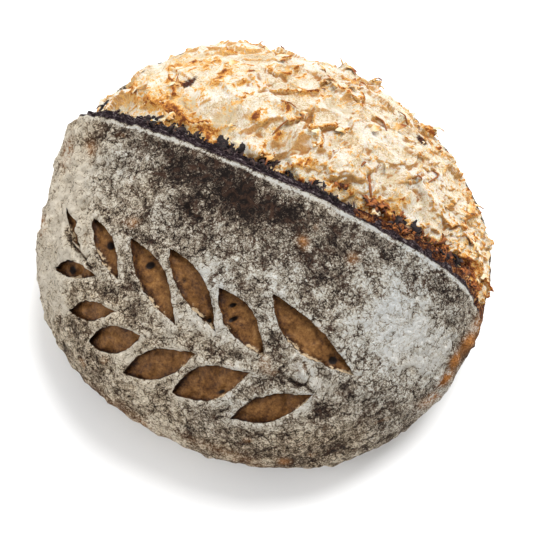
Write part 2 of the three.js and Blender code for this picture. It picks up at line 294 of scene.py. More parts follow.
def angle_over(s, y):
    """Section angle, degrees, at which the dome lies over y: 0 front, 90 top, 180 back."""
    front, back, _ = widths(s)
    across = np.clip(np.where(y < 0, y / front, y / back), -0.999, 0.999)
    full = np.where(y < 0, FLAP_FULL, BLOOM_FULL)
    return np.arctan2((1 - abs(across) ** full) ** (1 / full), -across) / RAD


def narrowing(s):
    """1 over most of the loaf's length, down to 0 at its very ends."""
    return np.clip(1.5 * envelope(s, BACK_ROUND), 0, 1)


def ear_line(s):
    """How far back the crest of the ear lies, in mm."""
    return np.minimum(EAR_LINE + EAR_BOW * s * s, 0.55 * widths(s)[1])


def ear_strength(s):
    """1 where the ear stands free, 0 beyond its ends."""
    return plateau(EAR_LEFT - 0.05, EAR_LEFT + 0.1, EAR_RIGHT - 0.12, EAR_RIGHT + 0.01, s)


def ear_rise(s):
    return EAR_RISE * ear_strength(s) + SHOULDER_RISE * bell(s, SHOULDER_AT, SHOULDER_HALF)


def band_width(s):
    """How wide the charred strip behind the ear is, in mm."""
    return (BAND_WIDTH + BAND_SPREAD * smooth(*WIDE_END, s)) * narrowing(s)


def dome(s, degrees):
    """Plain dome, before relief."""
    front, back, rise = widths(s)
    c, q = np.cos(degrees * RAD), np.sin(degrees * RAD)
    full = np.where(c > 0, FLAP_FULL, BLOOM_FULL)
    stretch = np.where(q > 0, (abs(c) ** full + abs(q) ** full) ** (-1 / full), 1)
    y = -c * stretch * np.where(c > 0, front, back)
    over = np.where(q > 0, DOME_TOP - EQUATOR, UNDERSIDE) * rise
    z = np.maximum(0, EQUATOR + q * stretch * over)
    return np.stack([HALF_LENGTH * s + 0 * y, y, z], -1)


def unit(vectors):
    return vectors / np.maximum(np.linalg.norm(vectors, axis=-1, keepdims=True), 1e-9)


def dome_normal(s, degrees):
    """The way out of the plain dome."""
    step = 0.004
    along = dome(np.minimum(1, s + step), degrees) - dome(np.maximum(-1, s - step), degrees)
    around = dome(s, degrees + 0.5) - dome(s, degrees - 0.5)
    return unit(np.cross(along, around))


def relief_over(s, degrees, d):
    """Height of the flap, ear, crevice and bloom over the dome, d behind the ear."""
    strength = ear_strength(s)
    top = ear_rise(s)
    band = band_width(s)
    sag = WIDE_END_SAG * smooth(*WIDE_END, s) * strength
    edge = top + strength - sag
    sink = 1 - BLOOM_END_SINK * smooth(0.1, 0.95, abs(s))
    swell = widths(s)[2] * BLOOM_RISE * sink * bell(degrees, BLOOM_MIDDLE, BLOOM_SPREAD)
    out = d - band
    behind = edge * (1 - smooth(0, CREVICE_WIDTH, out) * (1 - strength))
    drop = behind - (CREVICE_DEPTH - sag) * strength * smooth(0, CREVICE_LIP, out)
    bloom = blend(drop, swell, smooth(1, BLOOM_SLOPE, out))
    strip = blend(top, edge, np.clip(d / np.maximum(band, 1e-6), 0, 1))
    flap = top * np.exp(np.minimum(d, 0) / EAR_REACH)
    return np.where(d <= 0, flap, np.where(out <= 0, strip, bloom))


def bloom_end(s):
    """Section angle, in degrees, at which the bloom ends at the back."""
    return BLOOM_END + BLOOM_SPILL * smooth(*SPILL_FROM, s)


def frayed_end(s):
    """The section angle of the bloom's torn edge, with its wander."""
    along = np.stack([HALF_LENGTH * s, 0 * s, 0 * s], -1)
    return bloom_end(s) + BLOOM_FRAY * (rough(along, 17, 61, 4) + smooth(-0.2, 0.3, s))


def torn_share(s, degrees, d):
    """How much of the torn crumb shows at a place: 0 on crust, 1 on the bloom."""
    far = frayed_end(s) - LEFT_DRAW * smooth(0.8, 1, -s) - RIGHT_DRAW * smooth(0.9, 1, s)
    back = 1 - smooth(far - TORN_BORDER, far + TORN_BORDER, degrees)
    return smooth(1, 6, d - band_width(s)) * back * narrowing(s)


def station(turned):
    """The station at an angle in degrees: even angles lie closer together at the ends."""
    return np.sin(RAD * turned)


def surface(s, degrees):
    """Places on the loaf without torn detail, with what is needed to add it."""
    place = dome(s, degrees)
    normal = dome_normal(s, degrees)
    behind = place[..., 1] - ear_line(s)
    over = (degrees > -20) & (degrees < 200) & (place[..., 2] > 0)
    torn = torn_share(s, degrees, behind) * over
    upper = plateau(-20, 15, 165, 200, degrees) * narrowing(s)
    lips = LIP_RISE * bell(degrees - frayed_end(s), 2, LIP_HALF) * narrowing(s)
    out = upper * (1 - torn) * LUMP_RISE * lump(place, LUMP_SIZE, 1) + lips
    relief = relief_over(s, degrees, behind) * smooth(10, 60, degrees)
    tilt = np.maximum(smooth(0, 30, behind), 0.7 * smooth(0.8, 0.97, abs(s)))
    direction = unit(blend(np.array([0.0, 0.0, 1.0]), normal, tilt[..., None]))
    lifted = place + np.where(over, relief, 0)[..., None] * direction
    lifted = lifted + np.where(over, out, 0)[..., None] * normal
    return lifted, place, normal, torn, behind


# ---------------------------------------------------------------------------- meshes


def spread(low, high, count):
    """Even steps from low towards high, which isn't reached; low and high may be arrays."""
    share = np.arange(count) / count
    return np.asarray(low)[..., None] + (np.asarray(high) - low)[..., None] * share


def loft_faces(stations, rows):
    """Faces of a loft whose points are its rings and then the middles of its two ends."""
    n = np.arange(stations - 1)[:, None] * rows
    m = np.arange(rows)
    after = (m + 1) % rows
    quads = np.stack([n + after, n + rows + after, n + rows + m, n + m], -1).reshape(-1, 4)
    last = (stations - 1) * rows
    first_fan = np.stack([after, m, np.full(rows, stations * rows)], -1)
    last_fan = np.stack([last + m, last + after, np.full(rows, stations * rows + 1)], -1)
    return quads.tolist() + first_fan.tolist() + last_fan.tolist()


def mesh_of(name, points, faces):
    """A mesh from points in mm of the form, which lies MIDDLE away from the part's frame."""
    mesh = bpy.data.meshes.new(name)
    mesh.from_pydata(((points - MIDDLE) * MM).tolist(), [], faces)
    mesh.update()
    return mesh


def closed_lofts(name, lofts):
    """A mesh of closed bodies, each through rings of points with a fan over either end."""
    points = np.zeros((0, 3))
    faces = []
    for rings in lofts:
        faces += [[len(points) + n for n in face] for face in loft_faces(*rings.shape[:2])]
        points = np.concatenate([points, rings.reshape(-1, 3), rings[[0, -1]].mean(1)])
    return mesh_of(name, points, faces)


def add_values(mesh, name, values):
    layer = mesh.attributes.new(name, "FLOAT", "POINT")
    layer.data.foreach_set("value", np.ascontiguousarray(values, np.float32))


def show(mesh, material):
    piece = bpy.data.objects.new(mesh.name, mesh)
    bpy.context.scene.collection.objects.link(piece)
    mesh.materials.append(material)
    return piece


# -------------------------------------------------------------------- the floured crust

CRUST_STATIONS = 338
CRUST_LAST = 88.6
FLAP_ROWS = 146
UNDER_CRUMB_SINK = 9.0
BRISTLE_REACH = 1.6
BRISTLE_SPREAD = 3.0
PUFF_WIDTH = 3.2
CRACK_PIXELS = 1.6
CRACK_TONE_PIXELS = 1.3
# Rows on the charred strip, as shares of its width, and on down the crevice, in mm.
STRIP_STEPS = (0.12, 0.25, 0.4, 0.55, 0.7, 0.85, 1.0)
CREVICE_STEPS = (0.5, 1.0, 1.6, 2.4, 3.4, 4.6, CREVICE_WIDTH)

# Noises of the crust: size of their lumps in mm, salt and, where it isn't 3, octaves.
TORN_EDGE = (5, 51)
CRUST_BEND = (8, 131)
BROAD_LUMPS = (10, 101)
SMALL_LUMPS = (4.2, 111, 2)
FOLDS = (7, 151, 2)
PUCKERS = (7, 171, 2)
BRISTLES = (2.6, 161, 2)


def wander(points, size, salt):
    """A vector of three independent lumps, to bend other noise."""
    return np.stack([rough(points, size, salt + 7 * a, 2) for a in range(3)], -1)


def ragged_torn(torn, place):
    """The torn share with a ragged border."""
    return np.clip(torn + 0.3 * rough(place, *TORN_EDGE) * (torn > 0) * (torn < 1), 0, 1)


def ear_angles(s):
    """Angles of the rows from the crest of the ear to the bottom of the crevice."""
    line = ear_line(s)
    band = band_width(s)
    behind = [0 * s] + [share * band for share in STRIP_STEPS]
    behind += [band + away * narrowing(s) for away in CREVICE_STEPS]
    return np.stack([angle_over(s, line + d) for d in behind], -1)


def crust_angles(s, flap_rows=FLAP_ROWS, fine=1.0):
    """Angles of the rows round the loaf, closest where the relief is finest."""

    def part(low, high, count):
        return spread(low + 0 * s, high, max(2, round(count * fine)))

    ear = ear_angles(s)
    rows = [
        part(-90, -52, 5),
        part(-52, 0, 26),
        spread(0 * s, ear[..., 0], flap_rows),
        ear,
        part(ear[..., -1] + 1, bloom_end(s) - 12, 8),
        part(bloom_end(s) - 12, 180, 34),
        part(180, 232, 26),
        part(232, 270, 5),
    ]
    rows = np.concatenate(rows, -1)
    even = smooth(0.975, 0.995, abs(s))[..., None]
    level = -90 + 360 * np.arange(rows.shape[-1]) / rows.shape[-1]
    return blend(rows, level, even)


def score_axes():
    """Right and up in the plane square to the blade, and the direction back along it."""
    score = SCORE_TURN * RAD
    climb = SCORE_RISE * RAD
    right = np.array([math.cos(score), math.sin(score), 0])
    level = np.array([math.sin(score), -math.cos(score), 0]) * math.cos(climb)
    back = level + np.array([0, 0, math.sin(climb)])
    return right, np.cross(back, right), back


def leaf_places(points):
    """For each leaf: how far along it a point lies, how far across, its half width there."""
    right, up, _ = score_axes()
    p = (points - SCORE_LEVEL) @ right
    q = (points - SCORE_LEVEL) @ up
    for base_p, base_q, length, direction, lower, upper in LEAVES:
        along, across = rotated(p - base_p, q - base_q, direction)
        along = along / length
        inside = np.clip(along, 0, 1)
        to_foot = lower * np.sin(math.pi * (1 - (1 - inside) ** FOOT_SIDE_FULL))
        to_slash = upper * np.sin(math.pi * inside**SLASH_SIDE_FULL)
        half = np.where(across > 0, to_foot, to_slash)
        beyond = length * np.maximum(np.maximum(-along, along - 1), 0)
        yield along, across, half, beyond


def near_leaf(points):
    """Distance outside the nearest leaf, negative inside, roughly."""
    nearest = np.full(points.shape[:-1], 99.0)
    for _, across, half, beyond in leaf_places(points):
        nearest = np.minimum(nearest, np.maximum(abs(across) - half, 0.9 * beyond) + 0.3 * beyond)
    return nearest


# Bumpier places on the flap: pixel, radii, tilt, amount.
KNOB_SPOTS = [
    (120, 150, 70, 45, 25, 0.9),
    (70, 230, 25, 70, 10, 0.9),
    (190, 350, 150, 60, 35, 0.35),
    (310, 380, 30, 22, 20, 0.9),
    (440, 330, 50, 60, 30, 0.5),
]
# Blisters, dents and swells of the flap: pixel, radii, tilt, height in mm.
FLAP_SWELLS = [
    (467, 343, 6, 7, 0, 2.6),
    (453, 361, 5, 6, 0, 2.0),
    (445, 379, 6, 4, -30, 1.7),
    (478, 322, 3, 7, 0, 1.0),
    (93, 135, 8, 10, 0, -1.6),
    (78, 150, 6, 26, 12, 1.4),
    (306, 374, 11, 9, 20, 1.6),
    (327, 392, 9, 7, 0, -0.9),
    (61, 170, 4, 12, 0, 1.2),
    (45, 226, 5, 10, 0, 1.0),
    (108, 118, 12, 5, 10, 1.0),
    (68, 250, 12, 8, 0, 0.8),
    (252, 420, 16, 8, 20, 1.0),
    (200, 400, 26, 8, 25, 0.9),
    (150, 395, 10, 24, -40, 0.8),
]
# Where the charred edge behind the ear bristles most: pixel, radii, tilt, amount.
CHAR_CLUMPS = [
    (101, 105, 6, 4, 0, 0.9),
    (122, 113, 9, 3, 20, 0.6),
    (150, 120, 9, 4, 20, 1.0),
    (178, 127, 10, 5, 20, 1.0),
    (200, 136, 8, 3, 20, 0.6),
    (224, 144, 7, 4, 20, 0.8),
    (237, 150, 10, 6, 20, 1.1),
    (267, 163, 10, 5, 20, 1.0),
    (290, 174, 7, 3, 20, 0.5),
    (315, 188, 12, 6, 25, 0.9),
    (400, 224, 8, 6, 40, 1.1),
    (415, 230, 6, 6, 40, 1.0),
    (453, 256, 8, 7, 45, 1.0),
]
# Where browned chips gather: pixel, radii, tilt, amount.
BROWN_CLUMPS = [
    (340, 185, 12, 4, 20, 0.7),
    (371, 200, 6, 5, 40, 0.9),
    (384, 207, 8, 5, 40, 1.0),
    (398, 216, 7, 5, 40, 0.8),
    (428, 240, 8, 5, 45, 1.0),
    (444, 248, 6, 5, 45, 1.1),
    (464, 272, 5, 9, 0, 0.9),
]
# Pale flakes that lie on the charred strip: pixel, radii, tilt, amount.
PALE_CLUMPS = [(414, 236, 3, 1, 20, 1.7), (383, 214, 2, 1, 20, 0.6)]
# Short cracks in the flap: pixels from end to end.
CRACKS = [
    [(68, 228), (76, 246), (92, 268)],
    [(304, 362), (309, 376), (306, 384), (313, 392)],
    [(290, 381), (299, 386), (306, 384)],
    [(186, 205), (190, 214), (201, 219)],
]


def spots(points, table):
    """Sum of the soft spots of a table, which are placed by pixels of the picture."""
    across, down = pixels_of(points - MIDDLE)
    total = np.zeros_like(across)
    for x, y, radius_x, radius_y, tilt, amount in table:
        u, v = rotated(across - x, down - y, tilt)
        total = total + amount * np.exp(-((u / radius_x) ** 2 + (v / radius_y) ** 2))
    return total


def covered(points, table):
    """The spots of a table as a share from 0 to 1."""
    return np.clip(spots(points, table), 0, 1)


def crack_share(points, width):
    """1 on the cracks of the flap, 0 from about width, in pixels, off them."""
    across, down = pixels_of(points - MIDDLE)
    nearest = np.full(across.shape, 999.0)
    for line in CRACKS:
        for (x, y), (to_x, to_y) in zip(line, line[1:]):
            run = np.array([to_x - x, to_y - y])
            t = np.clip(((across - x) * run[0] + (down - y) * run[1]) / (run @ run), 0, 1)
            nearest = np.minimum(nearest, np.hypot(across - x - t * run[0], down - y - t * run[1]))
    return bell(nearest, 0, width)


def puckers(place, knobby):
    """Round swells that meet in sharp folds: 0 in a fold."""
    bent = place + 1.5 * wander(place, *CRUST_BEND)
    return (0.55 + 0.45 * knobby) * abs(rough(bent * np.array([1, 0.7, 0.7]), *PUCKERS))


def lumps(place, knobby):
    """Height in mm of the lumps and folds of the floured crust."""
    bent = place + 1.5 * wander(place, *CRUST_BEND)
    broad = (0.7 + 1.1 * knobby) * rough(bent, *BROAD_LUMPS)
    small = (0.5 + 1.2 * knobby) * rough(bent, *SMALL_LUMPS)
    folds = rough(bent * np.array([1, 0.3, 0.3]), *FOLDS)
    return broad + small + 0.9 * knobby * folds + 2.0 * (puckers(place, knobby) - 0.2)


def bristles(s, place, past):
    """Height in mm of the charred crumbs on the torn edge, past how far behind the strip."""
    reach = BRISTLE_REACH + BRISTLE_SPREAD * smooth(0.3, 0.5, s)
    crumbly = np.maximum(rough(place, *BRISTLES), 0) * bell(past, 0, reach)
    return ear_strength(s) * (crumbly * (1.4 + 1.6 * covered(place, CHAR_CLUMPS)))


def crust_rings(stations, angles):
    """Points of the crust in rings, with their plain places, torn share and way past the ear."""
    s = stations[:, None]
    lifted, place, normal, torn, behind = surface(s, angles)
    torn = ragged_torn(torn, place)
    sunk = UNDER_CRUMB_SINK * smooth(0.2, 0.6, torn) * narrowing(s)
    upper = plateau(-70, -20, 200, 250, angles) * (1 - smooth(0, 0.3, torn))
    out = upper * lumps(place, covered(place, KNOB_SPOTS)) - sunk
    out = out + bristles(s, place, behind - band_width(s)) * (angles < 120)
    outside = near_leaf(place)
    puff = LEAF_PUFF * smooth(-0.5, 1.6, outside) * bell(np.maximum(outside - 1.6, 0), 0, PUFF_WIDTH)
    placed = puff + spots(place, FLAP_SWELLS) - CRACK_DEPTH * crack_share(place, CRACK_PIXELS)
    out = out + smooth(10, 40, angles) * (angles < 90) * placed
    rings = lifted + out[..., None] * normal
    rings[..., 2] = np.maximum(rings[..., 2], 0)
    return rings, place, torn, behind


# ------------------------------------------------------------------------ scored leaves

FLOOR_STATIONS = 380
FLOOR_FLAP_ROWS = 170
FLOOR_FINENESS = 0.4
FLOOR_MARGIN = 0.3
LEAF_STEPS = 44
BLADE_INSIDE = 45.5
BLADE_OUTSIDE = 24.5
EDGE_WOBBLE = 0.42
HOLE_DEPTH = 2.6
LEAF_BED = (7, 401)
LEAF_CRUMB = (2.6, 411, 2)
FRINGE = (4, 451, 2)
EDGE_SWAY = (2.4, 431, 2)
EDGE_SLIP = (2.4, 441, 2)

# Bubbles that were open when the blade came through: pixel, radii, tilt, amount.
HOLES = [
    (72.7, 270.4, 3.2, 4.6, 0, 1.0),
    (110.7, 246, 3.8, 4.4, 0, 1.0),
    (150.4, 265.6, 5.2, 3.8, -20, 1.0),
    (184, 280, 2.6, 3.6, 20, 0.6),
    (209.3, 320.7, 3.2, 3.2, 0, 0.8),
    (199, 300, 2.2, 1.6, 0, 0.4),
    (232.9, 305.1, 4.6, 2.4, -15, 0.9),
    (233.3, 319.3, 5.4, 2.4, -25, 1.0),
    (332.7, 360.7, 4.8, 4.2, 0, 1.0),
    (316, 343, 1.8, 2.2, 0, 0.35),
    (85.6, 305.6, 2.4, 1.8, 0, 0.4),
    (118, 332, 2.2, 2.4, 0, 0.3),
    (222, 392, 5.5, 3.0, -20, 0.7),
    (285.6, 404.4, 2.2, 3.2, 0, 0.5),
]


def leaf_floor_rings():
    """The loaf as it would be without its skin: what is left under the scored leaves."""
    last = CRUST_LAST - FLOOR_MARGIN
    stations = station(np.linspace(last, -last, FLOOR_STATIONS))
    angles = crust_angles(stations, FLOOR_FLAP_ROWS, FLOOR_FINENESS)
    rings, place = crust_rings(stations, angles)[:2]
    depth = LEAF_DEPTH + 0 * angles
    for along, across, half, beyond in leaf_places(place):
        inside = (abs(across) < half + 2) & (beyond < 2)
        share = across / np.maximum(half, 1)
        depth = np.where(inside, LEAF_DEPTH * (0.78 - 0.25 * share + 0.35 * along), depth)
    depth = depth + 0.5 * rough(place, *LEAF_BED) + 0.22 * rough(place, *LEAF_CRUMB)
    depth = np.maximum(depth, 0.5) + HOLE_DEPTH * covered(place, HOLES)
    return rings - depth[..., None] * dome_normal(stations[:, None], angles)


def leaf_tones(points):
    """Painted shade of the leaf floors by the sides of their pockets, how pale their floury fringe is,
    and where their bubble holes are.
    """
    pocket_shade = np.zeros(len(points))
    pale = np.zeros(len(points))
    for along, across, half, beyond in leaf_places(points):
        inside = (abs(across) < half + 1.5) & (beyond < 2)
        gap = np.maximum(half - abs(across), 0)
        # Painted shade: the floor takes shade near the sides of its pocket and a little on the slash
        # side, under the rim.
        slash_side = smooth(0.2, 1.2, -across / np.maximum(half, 0.5))
        shade = 0.5 * np.exp(-gap / 0.9) + 0.10 * slash_side
        pocket_shade = np.where(inside, np.maximum(pocket_shade, shade), pocket_shade)
        foot_side = np.exp(-gap / 1.3) * (across > 0) * smooth(0.85, 0.4, along)
        foot_side = foot_side * smooth(-0.35, 0.35, rough(points, *FRINGE))
        pale = np.where(inside, np.maximum(pale, foot_side), pale)
    return {"pocket_shade": pocket_shade, "pale": pale, "hole_shade": covered(points, HOLES)}


def leaf_prisms():
    """Upright bars in the outlines of the leaves, to cut the leaves with."""
    right, up, back = score_axes()
    share = np.arange(LEAF_STEPS) / LEAF_STEPS
    corners = 2 * LEAF_STEPS
    m = np.arange(corners)
    after = (m + 1) % corners
    points = np.zeros((0, 3))
    faces = []
    for base_p, base_q, length, direction, lower, upper in LEAVES:
        to_slash = -upper * np.sin(math.pi * share**SLASH_SIDE_FULL)
        to_foot = lower * np.sin(math.pi * share**FOOT_SIDE_FULL)
        along = length * np.concatenate([share, 1 - share])
        across = np.concatenate([to_slash, to_foot])
        p, q = rotated(along, across, -direction)
        rim = SCORE_LEVEL + (base_p + p)[:, None] * right + (base_q + q)[:, None] * up
        sway = EDGE_WOBBLE * rough(rim, *EDGE_SWAY)
        slip = EDGE_WOBBLE * rough(rim, *EDGE_SLIP)
        rim = rim + sway[:, None] * up + slip[:, None] * right
        first = len(points)
        inner, outer = rim - BLADE_INSIDE * back, rim + BLADE_OUTSIDE * back
        points = np.concatenate([points, inner, outer])
        faces += (first + np.stack([m, after, after + corners, m + corners], -1)).tolist()
        faces.append((first + m[::-1]).tolist())
        faces.append((first + corners + m).tolist())
    return mesh_of("blades", points, faces)


def cut(thing, cutter):
    """Takes cutter out of thing for good; faces keep the materials of where they come from."""
    modifier = thing.modifiers.new("cut", "BOOLEAN")
    modifier.object = cutter
    modifier.operation = "DIFFERENCE"
    modifier.solver = "MANIFOLD"
    modifier.material_mode = "TRANSFER"
    depsgraph = bpy.context.evaluated_depsgraph_get()
    result = bpy.data.meshes.new_from_object(thing.evaluated_get(depsgraph))
    thing.modifiers.clear()
    old = thing.data
    thing.data = result
    bpy.data.meshes.remove(old)


# ---------------------------------------------------------------------- tone of the crust

FLOUR_CLOUDS = (30, 501)
FLOUR_PUFFS = (8, 511)
WARM_PLACES = (10, 521)
TINT_PLACES = (26, 531)
EMBER_PLACES = (5, 541)

# Places on the flap where the flour is thin (below 0) or thick: pixel, radii, tilt, amount. The thick
# places on the left slope and on the right of the flap are partly painted light.
FLOUR_SPOTS = [
    (240, 192, 78, 24, 26, -0.38),
    (262, 196, 22, 12, 20, 0.10),
    (275, 215, 45, 14, 30, -0.04),
    (326, 272, 20, 12, 25, -0.20),
    (150, 165, 60, 22, 20, -0.04),
    # Thick flour, and partly painted light that brightens the right of the flap.
    (400, 325, 60, 42, 50, 0.38),
    # Thick flour, and partly painted light that brightens the left slope.
    (62, 230, 22, 64, 8, 0.80),
    (52, 290, 14, 40, -12, 0.20),
    (105, 155, 45, 35, 20, 0.20),
    (230, 325, 130, 50, 30, 0.12),
    (92, 135, 9, 12, 0, -0.26),
    (300, 455, 120, 12, 0, -0.05),
    (100, 372, 40, 90, -45, 0.10),
    (260, 440, 120, 30, 10, 0.08),
    (306, 374, 16, 12, 30, 0.40),
    (70, 250, 14, 12, 0, 0.25),
    (440, 290, 22, 10, 40, -0.16),
    (380, 235, 18, 8, 30, -0.14),
    (205, 225, 26, 12, 30, -0.10),
    (430, 395, 30, 30, 0, 0.04),
    (470, 344, 11, 5, -55, -0.4),
    (456, 362, 9, 4, -60, -0.35),
    (448, 380, 10, 4, -50, -0.3),
]
# Beige (above 0) and cool grey (below 0) places: pixel, radii, tilt, amount.
TINT_SPOTS = [
    (60, 230, 40, 120, 5, 0.95),
    (110, 390, 60, 80, -40, 0.85),
    (200, 330, 120, 50, 30, 0.25),
    (400, 300, 70, 90, 40, -0.30),
    (280, 250, 120, 50, 25, -0.22),
    (280, 460, 140, 30, 0, 0.80),
]
# Bare, toasted patches: pixel, radii, tilt, amount.
WARM_SPOTS = [
    (68, 152, 5, 14, 10, 0.9),
    (42, 226, 4, 10, 0, 0.9),
    (303, 241, 5, 5, 0, 0.8),
    (353, 259, 5, 6, 0, 0.6),
    (90, 150, 6, 8, 0, 0.5),
    (284, 462, 6, 3, 0, 0.8),
    (130, 415, 60, 5, 35, 0.2),
    (230, 455, 60, 5, 20, 0.2),
    (484, 280, 6, 30, 0, 0.5),
    (468, 343, 11, 5, -55, 1.5),
    (455, 361, 9, 4, -60, 1.3),
    (446, 379, 10, 4, -50, 1.2),
    (478, 322, 9, 4, -65, 0.8),
    (428, 402, 10, 4, -35, 0.7),
    (436, 396, 5, 3, 0, 0.7),
    (130, 222, 8, 5, 0, 0.3),
]


def flour_on(s, place, rings, behind, angles):
    """Thickness of the flour, from about 0 where bare to 1 where thick."""
    knobby = covered(place, KNOB_SPOTS)
    flour = 0.545 + spots(rings, FLOUR_SPOTS)
    flour = flour + 0.13 * rough(place, *FLOUR_CLOUDS) + 0.05 * rough(place, *FLOUR_PUFFS)
    flour = flour + 0.04 * (1 - smooth(-40, 10, angles)) - 0.18 * smooth(168, 200, angles)
    flour = flour + 0.21 * bell(near_leaf(place), 0, 4.0) * (angles > 5) * (angles < 90)
    rim = 0.9 * bell(behind, 0.3, 0.75) + 0.05 * bell(behind, 0, 4) * (behind < 0)
    flour = flour + rim * ear_strength(s)
    flour = flour - 0.20 * (1 - smooth(0.0, 0.10, puckers(place, knobby)))
    return flour + 0.06 * np.clip(lumps(place, knobby), -2.5, 2.0)


def char_on(s, place, torn, behind, angles):
    """How charred the strip behind the ear, the torn lip and the crust under the crumb are."""
    heaped = 3.5 * covered(place, CHAR_CLUMPS)
    band = smooth(0.9, 2.0, behind) * (1 - smooth(1.5, 4.0, behind - band_width(s) - heaped))
    band = band * (angles > 20) * (angles < 160) * smooth(-0.97, -0.88, s)
    lip = bell(angles - frayed_end(s), 1, LIP_HALF) * plateau(-0.85, -0.78, -0.7, -0.62, s)
    under_torn = smooth(0.02, 0.3, torn) * (1 - smooth(8, 20, behind))
    return np.maximum(np.maximum(band, 0.75 * lip), under_torn)


def crust_tones(place, rings, torn, behind, angles, stations):
    """What the colours of the crust depend on, by name, each from 0 to 1."""
    s = stations[:, None] + 0 * angles
    reached = behind / np.maximum(band_width(s), 1) + 0.3 * rough(place, *EMBER_PLACES)
    upper = (angles > 20) & (angles < 160) & (behind < 20)
    seen = smooth(-0.02, 0.12, -(dome_normal(stations[:, None], angles) @ VIEW_AHEAD))
    warm = 0.9 * seen * spots(rings, WARM_SPOTS) + 0.25 * smooth(0.7, 1.1, rough(place, *WARM_PLACES))
    tones = {
        "flour": flour_on(s, place, rings, behind, angles),
        "char": char_on(s, place, torn, behind, angles),
        "warm": warm,
        "tint": 0.45 + spots(rings, TINT_SPOTS) + 0.25 * rough(place, *TINT_PLACES),
        "crack": crack_share(place, CRACK_TONE_PIXELS) * (angles > 5) * (angles < 90),
        "ember": upper * smooth(0.30, 0.46, s) * smooth(0.4, 0.7, reached),
    }
    return {name: np.clip(values, 0, 1) for name, values in tones.items()}


# ---------------------------------------------------------------------------- materials


def linear(*srgb):
    """A colour for the shader from its everyday 0-255 numbers."""
    return tuple(((v / 255 + 0.055) / 1.055) ** 2.4 if v > 10 else v / 255 / 12.92 for v in srgb)


class Look:
    """A material, and short ways to add to its nodes. Sizes are in millimetres."""

    def __init__(self, name, roughness, shine=0.5):
        self.material = bpy.data.materials.new(name)
        self.material.use_nodes = True
        self.tree = self.material.node_tree
        self.shader = self.tree.nodes["Principled BSDF"]
        self.shader.inputs["Roughness"].default_value = roughness
        self.shader.inputs["Specular IOR Level"].default_value = shine
        self.place = self.node("TexCoord").outputs["Object"]

    def join(self, value, socket):
        if isinstance(value, bpy.types.NodeSocket):
            self.tree.links.new(value, socket)
        elif socket.type == "RGBA":
            socket.default_value = (*value, 1)
        else:
            socket.default_value = value

    def node(self, kind, **inputs):
        """A new node; its inputs are sockets to join or values to set."""
        node = self.tree.nodes.new("ShaderNode" + kind)
        for name, value in inputs.items():
            self.join(value, node.inputs[name])
        return node

    def value(self, name, *gains):
        """A value of the mesh, with gains of noises added: pairs of a noise and an amount."""
        node = self.node("Attribute")
        node.attribute_name = name
        return self.total(node.outputs["Fac"], *(self.gain(*pair) for pair in gains))

    def noise(self, size, detail=3.0, roughness=0.6, distortion=0.0, stretch=(1.0, 1.0, 1.0)):
        """A noise with lumps of one size, longer along the axes where stretch is low."""
        place = self.node("Mapping", Vector=self.place, Scale=stretch).outputs["Vector"]
        node = self.node("TexNoise", Vector=place, Scale=1 / (size * MM), Detail=detail)
        self.join(roughness, node.inputs["Roughness"])
        self.join(distortion, node.inputs["Distortion"])
        return node.outputs["Fac"]

    def cracks(self, size, bend, width):
        """1 along the borders of cells of one size, 0 away from them."""
        noise = self.node("TexNoise", Vector=self.place, Scale=1 / (0.6 * size * MM))
        bent = self.node("VectorMath")
        bent.operation = "MULTIPLY_ADD"
        for value, socket in zip((noise.outputs["Color"], (bend * MM,) * 3, self.place), bent.inputs):
            self.join(value, socket)
        node = self.node("TexVoronoi", Scale=1 / (size * MM), Vector=bent.outputs[0])
        node.feature = "DISTANCE_TO_EDGE"
        return self.fade(width, 0.3 * width, node.outputs["Distance"])

    def veins(self, size, detail, roughness, distortion, width):
        """1 on wandering lines where a noise crosses its middle."""
        off_middle = self.math("SUBTRACT", self.noise(size, detail, roughness, distortion), 0.5)
        return self.fade(width, 0.0, self.math("ABSOLUTE", off_middle))

    def math(self, operation, a, b=0.0):
        node = self.node("Math")
        node.operation = operation
        self.join(a, node.inputs[0])
        self.join(b, node.inputs[1])
        return node.outputs[0]

    def times(self, a, b):
        return self.math("MULTIPLY", a, b)

    def gain(self, value, amount, middle=0.5):
        """amount times how far value is from middle."""
        return self.times(self.math("SUBTRACT", value, middle), amount)

    def total(self, result, *others):
        for value in others:
            result = self.math("ADD", result, value)
        return result

    def fade(self, low, high, value):
        """0 below low, 1 above high and a smooth change between, or the other way round."""
        node = self.node("MapRange", Value=value)
        node.interpolation_type = "SMOOTHSTEP"
        node.inputs["From Min"].default_value = low
        node.inputs["From Max"].default_value = high
        return node.outputs["Result"]

    def mix(self, share, a, b, mode="MIX"):
        """Colour a, and as much of colour b as share says."""
        node = self.node("Mix")
        node.data_type = "RGBA"
        node.blend_type = mode
        for value, name in ((share, "Factor"), (a, "A"), (b, "B")):
            self.join(value, node.inputs[name])
        return node.outputs["Result"]

    def layered(self, colour, *layers):
        """A colour under layers, each of which is how far it covers and its own colour."""
        for share, top in layers:
            colour = self.mix(share, colour, top)
        return colour

    def colours(self, value, stops):
        """Colours by value: each stop is a value, then red, green and blue from 0 to 255."""
        node = self.node("ValToRGB", Fac=value)
        elements = node.color_ramp.elements
        while len(elements) < len(stops):
            elements.new(0.5)
        for element, (at, *srgb) in zip(elements, stops):
            element.position = at
            element.color = (*linear(*srgb), 1)
        return node.outputs["Color"]

    def finish(self, colour, height=None, depth=0.3, strength=1.0):
        """The material, with bumps of depth in mm where there is a height."""
        self.join(colour, self.shader.inputs["Base Color"])
        if height is not None:
            bump = self.node("Bump", Strength=strength, Distance=depth * MM, Height=height)
            self.join(bump.outputs["Normal"], self.shader.inputs["Normal"])
        return self.material


